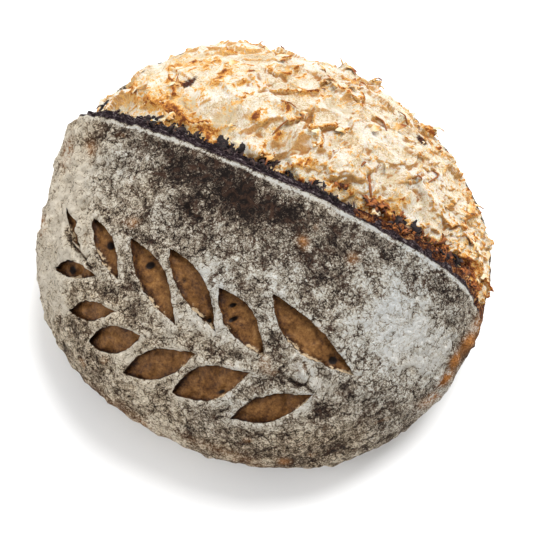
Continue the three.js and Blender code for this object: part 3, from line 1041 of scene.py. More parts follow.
DUSTED_RAMP = [
    (0.10, 38, 30, 27),
    (0.28, 82, 69, 61),
    (0.44, 138, 123, 108),
    (0.56, 194, 179, 158),
    (0.70, 236, 228, 214),
    (0.90, 253, 250, 245),
]
TOAST_RAMP = [(0.35, 146, 80, 36), (0.6, 238, 164, 88)]
SOOT_RAMP = [(0.36, 22, 14, 18), (0.50, 52, 38, 43), (0.60, 104, 88, 92), (0.72, 196, 186, 182)]
EMBER_RAMP = [(0.36, 38, 22, 22), (0.47, 92, 50, 34), (0.58, 168, 98, 48), (0.70, 228, 184, 124)]
BARE_CRUST = linear(104, 74, 58)
COOL_TINT = (0.93, 0.97, 1.0)
BEIGE_TINT = (1.0, 0.92, 0.79)


def crust_look():
    look = Look("floured_crust", 0.88, 0.12)
    grain = look.noise(0.75, 2, 0.65)
    fleck = look.noise(2.2, 5, 0.72, 1.0)
    patch = look.noise(9.0, 4, 0.62, 0.6)
    veins = look.veins(1.9, 4, 0.7, 1.6, 0.035)
    creases = look.veins(6.5, 5, 0.65, 1.0, 0.018)
    crackled = look.fade(0.38, 0.54, look.noise(6.0, 3, 0.6))
    crackle = look.times(look.cracks(4.4, 3.6, 0.07), crackled)
    flour = look.total(
        look.value("flour", (grain, 1.05), (fleck, 1.5), (patch, 0.95)),
        look.times(veins, -0.20),
        look.times(creases, -0.28),
        look.times(crackle, -0.30),
        look.times(look.value("crack"), -0.75),
    )
    tint = look.mix(look.value("tint"), COOL_TINT, BEIGE_TINT)
    colour = look.mix(1.0, look.colours(flour, DUSTED_RAMP), tint, "MULTIPLY")
    bare = look.times(look.fade(0.48, 0.66, look.noise(5, 5, 0.7, 1.0)), look.fade(0.72, 0.3, flour))
    toasted = look.times(look.value("warm"), look.fade(0.95, 0.45, flour))
    strands = look.noise(0.9, 4, 0.7, 0.6, (0.22, 1.0, 1.0))
    soot = look.total(strands, look.gain(fleck, 0.5))
    glow = look.total(look.noise(3.4, 4, 0.62, 1.4), look.gain(fleck, 0.8))
    colour = look.layered(
        colour,
        (look.times(bare, 0.55), BARE_CRUST),
        (toasted, look.colours(fleck, TOAST_RAMP)),
        (look.fade(0.25, 0.75, look.value("char", (fleck, 1.0))), look.colours(soot, SOOT_RAMP)),
        (look.fade(0.3, 0.7, look.value("ember")), look.colours(glow, EMBER_RAMP)),
    )
    height = look.total(
        look.gain(grain, 0.9),
        look.gain(fleck, 2.0),
        look.times(creases, -0.5),
        look.times(veins, -0.35),
        look.times(crackle, -0.6),
    )
    return look.finish(colour, height, 2.3)


LEAF_RAMP = [
    (0.05, 24, 14, 9),
    (0.25, 56, 34, 19),
    (0.45, 92, 61, 32),
    (0.62, 114, 79, 43),
    (0.85, 140, 104, 62),
]
LEAF_FRINGE = linear(190, 168, 136)
# Near-black painted shade inside the bubble holes.
BUBBLE_SHADE = linear(22, 13, 9)


def leaf_look():
    look = Look("scored_crumb", 0.5, 0.1)
    patch = look.noise(7.0, 3, 0.55, 0.4)
    fleck = look.noise(1.6, 4, 0.7)
    grain = look.noise(0.7, 2, 0.6)
    tone = look.total(
        look.gain(patch, 0.8, -0.12),
        look.gain(fleck, 0.9),
        look.gain(grain, 0.4),
        # Painted shade by the sides of each pocket lowers the tone.
        look.times(look.value("pocket_shade"), -0.55),
    )
    pale = look.fade(0.5, 0.85, look.value("pale", (fleck, 2.2)))
    colour = look.layered(
        look.colours(tone, LEAF_RAMP),
        (look.times(pale, 0.75), LEAF_FRINGE),
        # Bubble holes are filled with near-black painted shade.
        (look.fade(0.2, 0.6, look.value("hole_shade")), BUBBLE_SHADE),
    )
    return look.finish(colour, look.total(patch, look.gain(fleck, 0.8)), 0.6, 0.5)


CRUMB_RAMP = [(0.25, 184, 152, 108), (0.40, 222, 203, 168), (0.54, 235, 226, 206), (0.72, 247, 243, 234)]
# Painted shade in the bloom's hollows.
HOLLOW_SHADE_RAMP = [(0.35, 200, 176, 134), (0.65, 228, 216, 188)]
# Painted shade: ochre for bloom faces that look down towards the ear, away from the key light.
OCHRE_SHADE_RAMP = [(0.35, 184, 126, 66), (0.65, 224, 180, 116)]
TOASTED_RAMP = [(0.32, 244, 217, 158), (0.50, 235, 180, 94), (0.74, 200, 128, 54), (1.0, 124, 66, 32)]
BURNT_RAMP = [(0.35, 24, 16, 16), (0.7, 104, 58, 38)]
# Painted shade in concave creases of the bloom.
CREASE_SHADE = linear(182, 126, 70)
BROWNED_RIM = linear(150, 84, 36)
DASH = linear(138, 80, 38)
CRUMB_DIM = (0.77, 0.76, 0.76)


def bloom_look():
    look = Look("torn_bloom", 0.75, 0.2)
    look.shader.inputs["Subsurface Weight"].default_value = 0.3
    look.shader.inputs["Subsurface Radius"].default_value = (1.0, 0.5, 0.25)
    look.shader.inputs["Subsurface Scale"].default_value = 3 * MM
    fine = look.noise(0.9, 3, 0.7)
    fleck = look.noise(2.6, 4, 0.68, 0.8)
    patch = look.noise(11.0, 3, 0.6, 0.4)
    fibre = look.noise(1.9, 5, 0.72, 2.6)
    crumb = look.colours(look.total(patch, look.gain(fibre, 1.5), look.gain(fine, 0.7)), CRUMB_RAMP)
    toast = look.value("toast", (fleck, 2.2), (fine, 0.9))
    rim = look.fade(0.4, 0.9, look.value("rim", (fleck, 1.6)))
    dash = look.fade(0.65, 0.74, look.noise(2.2, 2, 0.5, 1.0, (1.0, 0.6, 1.0)))
    colour = look.layered(
        crumb,
        # Painted shade in the hollows.
        (look.fade(0.3, 1.0, look.value("hollow")), look.colours(fibre, HOLLOW_SHADE_RAMP)),
        # Painted shade in concave creases.
        (look.fade(0.35, 0.95, look.value("crease_shade", (fleck, 0.8))), CREASE_SHADE),
        # Painted shade in ochre on faces turned away from the key light.
        (look.fade(0.35, 0.95, look.value("wall_shade", (fleck, 0.9))), look.colours(fibre, OCHRE_SHADE_RAMP)),
        (look.fade(0.24, 0.5, toast), look.colours(toast, TOASTED_RAMP)),
        (look.times(rim, 0.9), BROWNED_RIM),
        (look.times(dash, look.value("dashes")), DASH),
        (
            look.fade(0.35, 0.7, look.value("burnt", (fleck, 1.2))),
            look.colours(look.noise(1.5, 3, 0.7), BURNT_RAMP),
        ),
    )
    colour = look.mix(1.0, colour, CRUMB_DIM, "MULTIPLY")
    height = look.total(look.gain(fine, 0.8), look.gain(fleck, 1.2), look.gain(fibre, 1.6))
    return look.finish(colour, height, 0.7, 0.7)


def scrap_look(name, root, middle, tip, roughness=0.7):
    """Crust or crumb that goes from one colour at its root to another at its tip."""
    look = Look(name, roughness, 0.3)
    fleck = look.noise(1.6, 3, 0.65)
    level = look.value("tip", (look.value("tone"), 0.7), (fleck, 1.0))
    colour = look.colours(level, [(0.15, *root), (0.5, *middle), (0.95, *tip)])
    colour = look.mix(1.0, colour, CRUMB_DIM, "MULTIPLY")
    return look.finish(colour, fleck, 0.3, 0.5)


# ---------------------------------------------------------------------------- the bloom

BLOOM_STATIONS = 470
BLOOM_LAST = 84.0
BLOOM_ROWS = 190
BLOOM_THICK = 12.0
BLOOM_UNDER_ROWS = 8
TOWARDS_EAR = np.array([0.42, -0.88, -0.2])

# Sheets of torn crumb: size in mm, salt, steepness and, in mm, step, bowl and curl.
LARGE_SHEETS = (13.0, 231, 0.12, 1.8, 1.6, 1.5)
SMALL_SHEETS = (5.4, 291, 0.12, 0.9, 0.7, 0.7)
FINE_SHEETS = (2.6, 341, 0.10, 0.35, 0.2, 0.25)
# Other noises of the bloom: size of their lumps in mm, salt and, where it isn't 3, octaves.
CRAG_CELLS = (CRAG_SIZE, 11)
WIDE_BOWLS = (19, 211)
SMALL_BOWLS = (7.0, 221)
WIDE_BEND = (13, 201)
FINE_BEND = (5, 261)
SPOT_BEND = (6, 251)
RUGGED_PLACES = (26, 601)
SHEETED_PLACES = (17, 611)
CRUMB_GRAIN = (1.6, 321, 2)
TOAST_CLOUDS = (14, 701)
BURNT_PLACES = (6, 711)
TOASTING_PLACES = (18, 721)
EAR_GLOW_REACH = 8.0
HEAP_REACH = 4.0

# Smooth hollows (below 0) and swells of the bloom: pixel, radii, tilt, height in mm.
SWELLS = [
    (191, 98, 11, 7, -25, -3.2),
    (226, 124, 19, 13, -15, -3.6),
    (262, 115, 20, 9, -32, 2.6),
    (252, 134, 20, 7, -25, -2.2),
    (212, 82, 16, 7, -30, -2.4),
    (262, 92, 14, 7, 10, -2.6),
    (240, 88, 12, 5, 10, 1.8),
    (283, 150, 20, 8, -12, -2.6),
    (256, 147, 14, 6, -10, 1.8),
    (308, 172, 20, 12, 25, 2.6),
    (305, 152, 14, 6, 20, -1.6),
    (340, 152, 16, 8, 20, -2.0),
    (352, 172, 12, 6, -30, 1.8),
    (385, 185, 12, 14, 0, -2.0),
    (333, 98, 16, 6, 25, 2.2),
    (330, 110, 16, 6, 25, -2.4),
    (180, 112, 14, 9, 20, 1.8),
    (155, 100, 12, 8, 20, 1.5),
    (395, 205, 10, 12, 20, 1.4),
    (352, 120, 14, 8, 20, -1.6),
]
# Toasted patches on the bloom: pixel, radii, tilt, amount.
TOAST_SPOTS = [
    (168, 110, 18, 7, 25, 0.45),
    (150, 102, 16, 6, 20, 0.35),
    (130, 98, 14, 6, 10, 0.3),
    (133, 86, 8, 4, -45, 0.5),
    (178, 84, 8, 4, 0, 0.5),
    (150, 80, 5, 4, 0, 0.35),
    (175, 66, 10, 3, -30, 0.4),
    (205, 128, 20, 6, 25, 0.5),
    (232, 128, 8, 5, 0, 0.5),
    (258, 112, 12, 5, -30, 0.4),
    (222, 76, 10, 3, -30, 0.35),
    (271, 66, 5, 4, 30, 0.4),
    (176, 108, 7, 10, 0, 0.3),
    (208, 132, 8, 5, 0, 0.3),
    (240, 84, 9, 3, -10, 0.6),
    (280, 136, 10, 7, 20, 0.65),
    (255, 117, 9, 5, -40, 0.40),
    (277, 108, 10, 3, -15, 0.30),
    (225, 70, 14, 4, -40, 0.35),
    (258, 146, 14, 3, -15, 0.35),
    (308, 161, 14, 4, 15, 0.6),
    (338, 185, 16, 5, 22, 0.7),
    (334, 199, 3, 2, 0, 0.8),
    (325, 95, 14, 6, 20, 0.5),
    (300, 92, 8, 5, 20, 0.4),
    (345, 105, 8, 4, 30, 0.35),
    (336, 138, 5, 8, -20, 0.4),
    (364, 172, 5, 12, -10, 0.35),
    (376, 205, 16, 10, 45, 0.75),
    (395, 222, 16, 10, 40, 0.8),
    (402, 200, 10, 6, 0, 0.4),
    (440, 250, 12, 12, 45, 0.6),
    (458, 275, 10, 14, 40, 0.7),
    (470, 255, 8, 26, -5, 0.35),
    (240, 50, 20, 6, 5, 0.25),
    (200, 62, 24, 8, -15, 0.15),
    (330, 70, 60, 8, 22, 0.10),
    (205, 95, 40, 22, -20, 0.20),
    (165, 85, 40, 14, -35, 0.16),
    (243, 100, 12, 4, -30, 0.3),
    (212, 62, 10, 3, -30, 0.35),
    (290, 108, 10, 3, 10, 0.4),
    (296, 75, 12, 4, 15, 0.3),
    (420, 120, 14, 50, -40, 0.10),
    (470, 200, 10, 50, -15, 0.20),
    (461, 262, 7, 24, -15, 0.40),
    (474, 288, 5, 20, 0, 0.50),
    (352, 152, 26, 8, 15, 0.20),
    (226, 112, 12, 6, -30, 0.35),
    (310, 98, 14, 5, 30, 0.35),
]
# Burnt spots on the bloom: pixel, radii, tilt, amount.
BURNT_SPOTS = [
    (188, 84, 9, 5, -30, 1.0),
    (196, 78, 4, 3, -30, 0.4),
    (160, 103, 9, 4, 20, 0.5),
    (281, 133, 4, 3, 20, 0.6),
    (421, 140, 8, 4, 45, 1.1),
    (378, 214, 14, 4, 40, 0.5),
    (405, 232, 14, 5, 35, 0.6),
    (445, 262, 12, 5, 45, 0.5),
    (284, 103, 6, 1.5, 25, 0.5),
    (274, 66, 3, 2, 30, 0.3),
    (310, 70, 4, 2, 20, 0.5),
    (345, 74, 4, 2, 30, 0.4),
]


def plates(points, size, salt, steep, step, bowl, curl):
    """Sheets torn by the rise: each climbs towards the ear, ends in a curl and drops."""
    near, second, key, offset = cells(points, size, salt)
    lean = ((cell_tilt(key, salt + 3) + 0.5 * TOWARDS_EAR) * offset).sum(-1)
    edge = np.exp(-(second - near) / 0.14) * smooth(-0.02, 0.25, lean)
    height = 2 * size * steep * lean + step * (chance(*key, salt + 6) - 0.5)
    return height + bowl * (near * near - 0.3) + curl * edge, edge


def bowls(points, size, salt):
    """Smooth hollows that meet in sharp ridges: 0 on a ridge, down to about -1."""
    return -abs(rough(points, size, salt, 1)) - 0.35 * abs(lump(points, 0.45 * size, salt + 5))


def blurred(values, reach):
    """Mean of a grid over reach cells to every side."""
    for axis in (0, 1):
        values = sum(np.roll(values, n, axis) for n in range(-reach, reach + 1)) / (2 * reach + 1)
    return values


def grid_normals(points):
    """Outward directions of a grid of points (stations, rows)."""
    return unit(np.cross(np.gradient(points, axis=0), -np.gradient(points, axis=1)))


def downhill(normal):
    """The way down towards the ear along a surface."""
    return unit(TOWARDS_EAR - (normal @ TOWARDS_EAR)[..., None] * normal)


def torn_detail(s, place, angles):
    """Height in mm of the torn crumb over its crags, and 1 on the edges of its sheets."""
    busy = np.clip(smooth(-0.15, 0.45, s) + 0.5 * smooth(115, 140, angles), 0, 1)
    rugged = smooth(-0.5, 0.5, rough(place, *RUGGED_PLACES) - 0.25 + 0.7 * busy)
    sheets = 0.3 + 0.7 * smooth(-0.3, 0.4, rough(place, *SHEETED_PLACES))
    bent = place + 4.0 * wander(place, *WIDE_BEND)
    soft = (5.4 - 2.6 * busy) * (bowls(bent, *WIDE_BOWLS) + 0.45)
    large, large_edge = plates(bent, *LARGE_SHEETS)
    large = large * (1 - 0.6 * smooth(-0.35, -0.75, s))
    bent = bent + 1.5 * wander(place, *FINE_BEND)
    soft = soft + (1.0 + 0.6 * rugged) * (bowls(bent, *SMALL_BOWLS) + 0.4)
    small, small_edge = plates(bent, *SMALL_SHEETS)
    fine, fine_edge = plates(bent, *FINE_SHEETS)
    detail = soft + sheets * large + rugged * (small + 0.8 * fine)
    detail = detail + 0.12 * rough(place, *CRUMB_GRAIN)
    shaped = spots(place + 1.2 * wander(place, *SPOT_BEND), SWELLS)
    detail = detail * (1 - 0.45 * smooth(0.8, 2.4, abs(shaped))) + 0.8 * shaped
    edges = np.maximum(sheets * large_edge, 0.8 * small_edge * rugged)
    return 0.5 * (detail + blurred(detail, 1)), np.maximum(edges, 0.5 * fine_edge * rugged)


def bloom_form():
    """Points of the bloom in rings of rows, with what its tones and flakes need."""
    stations = station(np.linspace(BLOOM_LAST, -BLOOM_LAST, BLOOM_STATIONS))
    s = stations[:, None]
    behind_ear = band_width(stations) + 0.8 * narrowing(stations)
    start = angle_over(stations, ear_line(stations) + behind_ear)
    end = frayed_end(stations) + 5
    angles = np.concatenate([spread(start, end, BLOOM_ROWS), spread(end, start, BLOOM_UNDER_ROWS)], -1)
    lifted, place, normal, torn, behind = surface(s, angles)
    torn = ragged_torn(torn, place)
    shown = smooth(0, 0.5, torn)
    detail, edges = torn_detail(s, place, angles)
    hidden = UNDER_CRUMB_SINK * (1 - smooth(0.1, 0.5, torn))
    out = shown * (0.8 * crags(place, *CRAG_CELLS) + detail) - hidden
    is_under = np.arange(angles.shape[1])[None, :] >= BLOOM_ROWS
    out = np.where(is_under, -BLOOM_THICK * narrowing(s), out)
    pushed = 0.45 * shown * np.maximum(detail, 0) * ~is_under
    points = lifted + out[..., None] * normal + pushed[..., None] * downhill(normal)
    past = np.maximum(behind - band_width(s), 0)
    return SimpleNamespace(
        points=points, place=place, normal=normal, torn=torn, past=past,
        angles=angles, s=s + 0 * angles, edges=edges, detail=detail,
    )


def bloom_tones(form):
    """What the colours of the bloom depend on, by name."""
    # Painted shade: faces that look down towards the ear, away from the key light.
    wall_shade = smooth(0.2, 0.8, (grid_normals(form.points) * downhill(form.normal)).sum(-1))
    fine_ridge = form.detail - blurred(form.detail, 2)
    ridge = form.detail - blurred(form.detail, 7)
    near_ear = np.exp(-form.past / EAR_GLOW_REACH)
    toast = -0.09 + 0.38 * form.edges + spots(form.points, TOAST_SPOTS)
    toast = toast + 0.16 * rough(form.place, *TOAST_CLOUDS)
    toasting = 0.45 + 0.55 * smooth(-0.3, 0.5, rough(form.place, *TOASTING_PLACES))
    toast = toast + toasting * (0.40 * smooth(0.05, 0.35, fine_ridge) + 0.25 * smooth(0.2, 1.3, ridge))
    toast = toast + 0.34 * near_ear + 0.3 * (1 - smooth(0.3, 0.9, form.torn))
    toast = toast + 0.04 * smooth(115, 150, form.angles) + 0.13 * smooth(0.1, -0.5, form.s)
    singed = 0.45 * near_ear * smooth(-0.2, 0.6, rough(form.place, *BURNT_PLACES))
    burnt = spots(form.points, BURNT_SPOTS) + singed + 0.5 * (1 - smooth(0.1, 0.5, form.torn)) - 0.1
    burnt = burnt + 0.8 * spots(form.points, CHAR_CLUMPS) * bell(form.past, 0, HEAP_REACH)
    return {
        "toast": np.clip(toast, 0, 1.2),
        # Painted shade where the crumb lies in a hollow.
        "hollow": smooth(0.0, -2.4, form.detail),
        "burnt": np.clip(burnt, 0, 1),
        "wall_shade": wall_shade,
        "dashes": 0.25 + 0.6 * smooth(0.1, 0.6, form.s),
        # Painted shade in concave creases, small and broad.
        "crease_shade": 0.6 * smooth(0.05, 0.4, -fine_ridge) + 0.4 * smooth(0.3, 1.4, -ridge),
        "rim": smooth(0.6, 1.0, form.edges),
    }


# --------------------------------------------------------------------------- small scraps

FLAKE_COUNT = 220
FLAKE_LENGTH = 6.5
FLAKE_THICK = 0.35
TOOTH_LENGTH = 4.6
TOOTH_CLUMPS = (6, 843)
CHIP_LENGTH = 5.6
CHAR_THICK = 0.7
SCRAP_LENGTH_STEPS = 6
SCRAP_WIDTH_STEPS = 4
SCRAP_CREASE = 35 * RAD
# Rows of scraps along the ear: name, how many, first and last station, salt.
TEETH = ("teeth", 300, EAR_LEFT + 0.03, EAR_RIGHT - 0.05, 831)
EMBERS = ("embers", 150, 0.38, 0.95, 881)
# Heaps of scraps: name, clumps, how many in each, salt.
CHIPS = ("chips", CHAR_CLUMPS, 15, 921)
BROWN_CHIPS = ("brown_chips", BROWN_CLUMPS, 15, 961)
PALE_FLAKES = ("pale_flakes", PALE_CLUMPS, 3, 1001)
STRAW_SIDES = 6
STRAW_STEPS = 14
# Strands on the bloom: radius in mm, then pixels from root to tip.
STRAWS = [
    (0.65, (361, 167), (364, 162), (367, 166), (368, 178), (370, 190), (371, 197)),
    (0.45, (412, 178), (417, 177), (421, 179), (421, 188), (420, 199)),
    (0.4, (433, 171), (437, 174), (436, 178), (428, 183)),
    (0.4, (375, 117), (382, 122), (386, 131)),
    (0.35, (398, 112), (403, 118), (407, 127)),
    (0.4, (272, 136), (279, 129), (287, 121)),
    (0.35, (282, 102), (290, 104), (297, 109)),
    (0.35, (460, 280), (466, 264), (468, 250)),
]


def scraps(name, roots, ups, forwards, lengths, breadths, thickness, curls, tones, salt):
    """Thin sheets in one mesh, each closed: rooted at a place and curling forwards."""
    share = np.linspace(0, 1, SCRAP_LENGTH_STEPS)
    side_share = np.linspace(-1, 1, SCRAP_WIDTH_STEPS)
    u, v = np.meshgrid(share, side_share, indexing="ij")
    count = len(roots)
    ragged = chance(np.arange(count)[:, None, None], *np.indices(u.shape), salt) - 0.5
    sides = unit(np.cross(ups, forwards))
    fronts = unit(np.cross(sides, ups))
    roots, ups, sides, fronts = (each[:, None, None, :] for each in (roots, ups, sides, fronts))
    lengths, breadths, curls = (each[:, None, None, None] for each in (lengths, breadths, curls))
    taper = (1 - 0.75 * u**1.5) * (0.75 + 0.5 * np.sin(3 * u + 1.0))
    bend = curls * (u * (1 + 0.7 * ragged * (u > 0.5)))[..., None]
    across = (v * taper * (1 + 0.9 * ragged) * 0.5)[..., None] * breadths
    cup = (0.12 * v * v)[..., None] * breadths
    arc = np.sin(bend) / curls * ups + (1 - np.cos(bend)) / curls * fronts
    facing = np.cos(bend) * fronts - np.sin(bend) * ups
    middle = roots + lengths * arc + across * sides + cup * facing
    half = (0.5 * thickness * (1 - 0.6 * u))[..., None] * facing
    both = np.stack([middle + half, middle - half], 1)
    mesh = mesh_of(name, both.reshape(-1, 3), scrap_faces(count))
    add_values(mesh, "tip", np.broadcast_to(u, both.shape[:-1]).reshape(-1))
    add_values(mesh, "tone", np.repeat(tones, 2 * u.size))
    mesh.shade_smooth()
    mesh.set_sharp_from_angle(angle=SCRAP_CREASE)
    return mesh


def scrap_faces(count):
    """Faces of scraps, whose points are a grid for one side, then one for the other."""
    per = SCRAP_LENGTH_STEPS * SCRAP_WIDTH_STEPS
    grid = np.arange(per).reshape(SCRAP_LENGTH_STEPS, SCRAP_WIDTH_STEPS)
    cells_of = (grid[:-1, :-1], grid[1:, :-1], grid[1:, 1:], grid[:-1, 1:])
    a, b, c, d = (corner.reshape(-1) for corner in cells_of)
    border = np.concatenate([grid[0, :-1], grid[:-1, -1], grid[-1, :0:-1], grid[:0:-1, 0]])
    after = np.roll(border, -1)
    rim = np.stack([border, after, after + per, border + per], -1)
    one = np.concatenate([np.stack([a, b, c, d], -1), per + np.stack([d, c, b, a], -1), rim])
    return (one + 2 * per * np.arange(count)[:, None, None]).reshape(-1, 4).tolist()


def draws(count, salt):
    """Rows of chances by their number, each with one chance for each scrap."""

    def draw(row):
        return chance(np.arange(count), row, 3, salt)

    return draw


def flake_mesh(form):
    """Curled flakes along the torn ridges of the bloom."""
    rng = np.random.default_rng(5)
    inner = (np.arange(BLOOM_ROWS + BLOOM_UNDER_ROWS) < BLOOM_ROWS - 6) & (form.torn > 0.75)
    inner &= abs(form.s) < 0.97
    weight = (inner * form.edges**2 * (1 - 0.6 * smooth(0.0, 0.5, form.s))).reshape(-1)
    chosen = rng.choice(weight.size, FLAKE_COUNT, replace=False, p=weight / weight.sum())
    up = form.normal.reshape(-1, 3)[chosen]
    root = form.points.reshape(-1, 3)[chosen] - 0.6 * up
    draw = draws(FLAKE_COUNT, 801)
    sway = np.stack([draw(1) - 0.5, draw(2) - 0.5, 0 * draw(1)], -1) * 1.6 + 0.5 * TOWARDS_EAR
    length = FLAKE_LENGTH * (0.25 + 0.75 * draw(3) ** 2.2)
    width = length * (0.45 + 0.6 * draw(4))
    curl = 0.4 + 1.6 * draw(5)
    lean = unit(up + 1.1 * sway)
    return scraps("flakes", root, lean, unit(sway), length, width, FLAKE_THICK, curl, draw(6), 811)


def teeth_mesh(name, count, low, high, salt):
    """Scraps that stand along the torn edge behind the ear, from station low to high."""
    draw = draws(count, salt)
    s = blend(low, high, (np.arange(count) + draw(1)) / count)
    d = ear_line(s) + band_width(s) * (0.75 + 0.6 * draw(2))
    root, place = surface(s, angle_over(s, d))[:2]
    up = unit(np.stack([2.0 * (draw(3) - 0.5), 1.6 * (draw(4) - 0.4), 0.6 + 0 * s], -1))
    forward = unit(np.stack([draw(5) - 0.5, draw(6) - 0.3, 0 * s], -1))
    clump = np.clip(spots(root, CHAR_CLUMPS) + 0.4 * (rough(place, *TOOTH_CLUMPS) > 0.3), 0, 1)
    length = TOOTH_LENGTH * (0.3 + 0.7 * draw(7) ** 1.5) * (0.28 + 0.85 * clump)
    width = length * (0.5 + 0.7 * draw(8))
    curl = 0.8 + 1.8 * draw(9)
    root = root - 0.8 * up
    return scraps(name, root, up, forward, length, width, CHAR_THICK, curl, draw(10), salt + 20)


def nearest_to(pixel, form):
    """Which point of a form that faces the camera shows nearest to a pixel."""
    across, down = pixels_of(form.points - MIDDLE)
    away = np.hypot(across - pixel[0], down - pixel[1]) + 999.0 * (form.normal @ VIEW_AHEAD > -0.2)
    return np.unravel_index(np.argmin(away), away.shape)


def chips_mesh(form, name, clumps, each, salt):
    """Torn chips of crust heaped in clumps along the foot of the bloom."""
    draw = draws(len(clumps) * each, salt)
    x, y, radius_x, radius_y, _, amount = np.repeat(np.array(clumps), each, axis=0).T
    across = x + 1.6 * radius_x * (draw(1) - 0.5)
    down = y + 1.6 * radius_y * (draw(2) - 0.5) + 0.4 * (across - x)
    found = [nearest_to(pixel, form) for pixel in zip(across, down)]
    up = np.array([form.normal[at] for at in found])
    root = np.array([form.points[at] for at in found]) - 0.5 * up
    sway = np.stack([draw(3) - 0.5, draw(4) - 0.5, 0.5 * (draw(5) - 0.5)], -1)
    length = CHIP_LENGTH * amount * (0.35 + 0.65 * draw(6))
    width = length * (0.5 + 0.6 * draw(7))
    curl = 0.6 + 2.2 * draw(8)
    lean = unit(up + 1.8 * sway)
    return scraps(name, root, lean, unit(sway), length, width, CHAR_THICK, curl, draw(9), salt + 20)


def strand(values, knots):
    """Even steps through the values that a grid has at its knots."""
    share = np.linspace(0, len(knots) - 1, STRAW_STEPS)
    at_knots = np.array([values[knot] for knot in knots])
    return np.stack([np.interp(share, np.arange(len(knots)), column) for column in at_knots.T], -1)


def straws_mesh(form):
    """Long strands of crust that lie on the bloom."""
    turns = 2 * math.pi * np.arange(STRAW_SIDES) / STRAW_SIDES
    taper = 0.35 + 0.65 * np.sin(math.pi * np.linspace(0.06, 0.9, STRAW_STEPS))
    lofts = []
    for radius, *line in STRAWS:
        found = [nearest_to(pixel, form) for pixel in line]
        up = unit(strand(form.normal, found))
        rise = 0.4 * radius + 0.7 * np.sin(math.pi * np.linspace(0, 1, STRAW_STEPS))
        at = strand(form.points, found) + rise[:, None] * up
        side = 1.3 * unit(np.cross(np.gradient(at, axis=0), up))[:, None]
        ring = np.cos(turns)[:, None] * side + np.sin(turns)[:, None] * up[:, None]
        lofts.append(at[:, None] + radius * taper[:, None, None] * ring)
    mesh = closed_lofts("straws", lofts)
    mesh.shade_smooth()
    add_values(mesh, "tone", np.full(len(mesh.vertices), 0.5))
    return mesh


# ------------------------------------------------------------------------- put together

CRUST_CREASE = 60 * RAD
FLOOR_HALF = 4.0
PAPER_RAMP = [(0.3, 247, 247, 247), (0.7, 249.3, 249.3, 249.3)]
# Lights: direction they come from, power and width in degrees.
KEY_LIGHT = ((0.10, 0.65, 1.0), 3.7, 38)
SIDE_LIGHT = ((-0.77, -0.70, 0.50), 1.5, 30)
ROOM_LIGHT = 0.74


def make_crust():
    """The crust with its leaves cut out of it; their floors keep a material of their own."""
    stations = station(np.linspace(CRUST_LAST, -CRUST_LAST, CRUST_STATIONS))
    angles = crust_angles(stations)
    rings, place, torn, behind = crust_rings(stations, angles)
    tones = crust_tones(place, rings, torn, behind, angles, stations)
    crumb = leaf_look()
    piece = show(closed_lofts("crust", [rings]), crust_look())
    core = show(closed_lofts("core", [leaf_floor_rings()]), crumb)
    blades = show(leaf_prisms(), crumb)
    cut(blades, core)
    cut(piece, blades)
    bpy.data.objects.remove(core)
    bpy.data.objects.remove(blades)
    mesh = piece.data
    corners = np.array([v.co for v in mesh.vertices]) / MM + MIDDLE
    source = KDTree(rings[..., 0].size)
    for n, point in enumerate(rings.reshape(-1, 3).tolist()):
        source.insert(point, n)
    source.balance()
    nearest = [source.find(corner)[1] for corner in corners.tolist()]
    values = {name: tone.reshape(-1)[nearest] for name, tone in tones.items()}
    for name, tone in (values | leaf_tones(corners)).items():
        add_values(mesh, name, tone)
    mesh.shade_smooth()
    mesh.set_sharp_from_angle(angle=CRUST_CREASE)
    return piece


def make_bloom(form):
    """The bloom; the two ends of its loft take the mean of the ring beside them."""
    mesh = closed_lofts("bloom", [form.points])
    for name, values in bloom_tones(form).items():
        add_values(mesh, name, np.concatenate([values.reshape(-1), values[[0, -1]].mean(1)]))
    mesh.shade_smooth()
    return show(mesh, bloom_look())


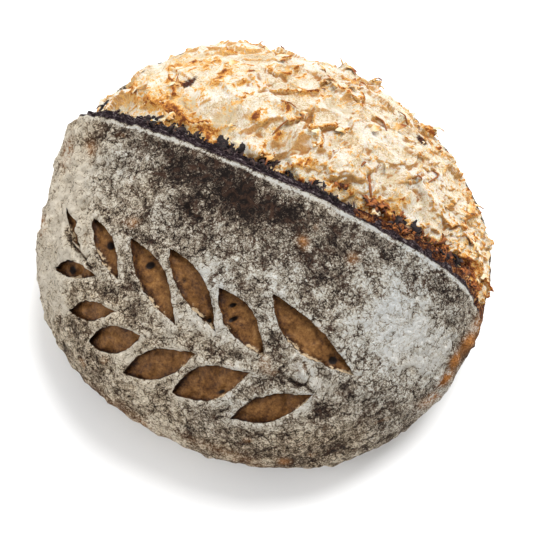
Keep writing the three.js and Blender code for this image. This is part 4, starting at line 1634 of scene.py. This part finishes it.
def make_scraps(form):
    """The small pieces on the bloom and on the charred strip."""
    toasted = scrap_look("toasted_flakes", (240, 226, 192), (232, 182, 108), (150, 80, 36))
    straw = scrap_look("straw", (150, 90, 42), (124, 68, 32), (84, 44, 24))
    charred = scrap_look("charred_teeth", (32, 22, 24), (25, 17, 18), (84, 64, 60), 0.75)
    browned = scrap_look("browned_scraps", (84, 44, 28), (186, 112, 54), (70, 36, 26))
    pale = scrap_look("pale_flakes", (206, 176, 138), (232, 214, 184), (206, 172, 130))
    return [
        show(flake_mesh(form), toasted),
        show(straws_mesh(form), straw),
        show(teeth_mesh(*TEETH), charred),
        show(teeth_mesh(*EMBERS), browned),
        show(chips_mesh(form, *CHIPS), charred),
        show(chips_mesh(form, *BROWN_CHIPS), browned),
        show(chips_mesh(form, *PALE_FLAKES), pale),
    ]


def make_floor():
    """A sheet of pale paper, with its corners in metres."""
    mesh = bpy.data.meshes.new("floor")
    corners = [(x * FLOOR_HALF, y * FLOOR_HALF, 0) for x, y in ((-1, -1), (1, -1), (1, 1), (-1, 1))]
    mesh.from_pydata(corners, [], [(0, 1, 2, 3)])
    look = Look("floor", 0.6)
    floor = show(mesh, look.finish(look.colours(look.noise(60, 2, 0.5), PAPER_RAMP)))


def make_far_light(name, source, power, softness):
    """A light as even as a wide softbox far away, from the direction source."""
    light = bpy.data.lights.new(name, "SUN")
    light.energy = power
    light.angle = softness * RAD
    thing = bpy.data.objects.new(name, light)
    thing.rotation_euler = (-Vector(source)).to_track_quat("-Z", "Y").to_euler()
    bpy.context.scene.collection.objects.link(thing)


def make_room():
    """White light from all around."""
    world = bpy.data.worlds.new("studio")
    world.use_nodes = True
    background = world.node_tree.nodes["Background"]
    background.inputs["Color"].default_value = (1, 1, 1, 1)
    background.inputs["Strength"].default_value = ROOM_LIGHT
    bpy.context.scene.world = world
    bpy.context.scene.view_settings.view_transform = "Standard"


make_camera()
make_far_light("key", *KEY_LIGHT)
make_far_light("side", *SIDE_LIGHT)
make_room()
make_floor()
crust = make_crust()
bloom_shape = bloom_form()
bloom = make_bloom(bloom_shape)
for piece in [crust, bloom] + make_scraps(bloom_shape):
    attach(piece, "root")
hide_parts("loaf")
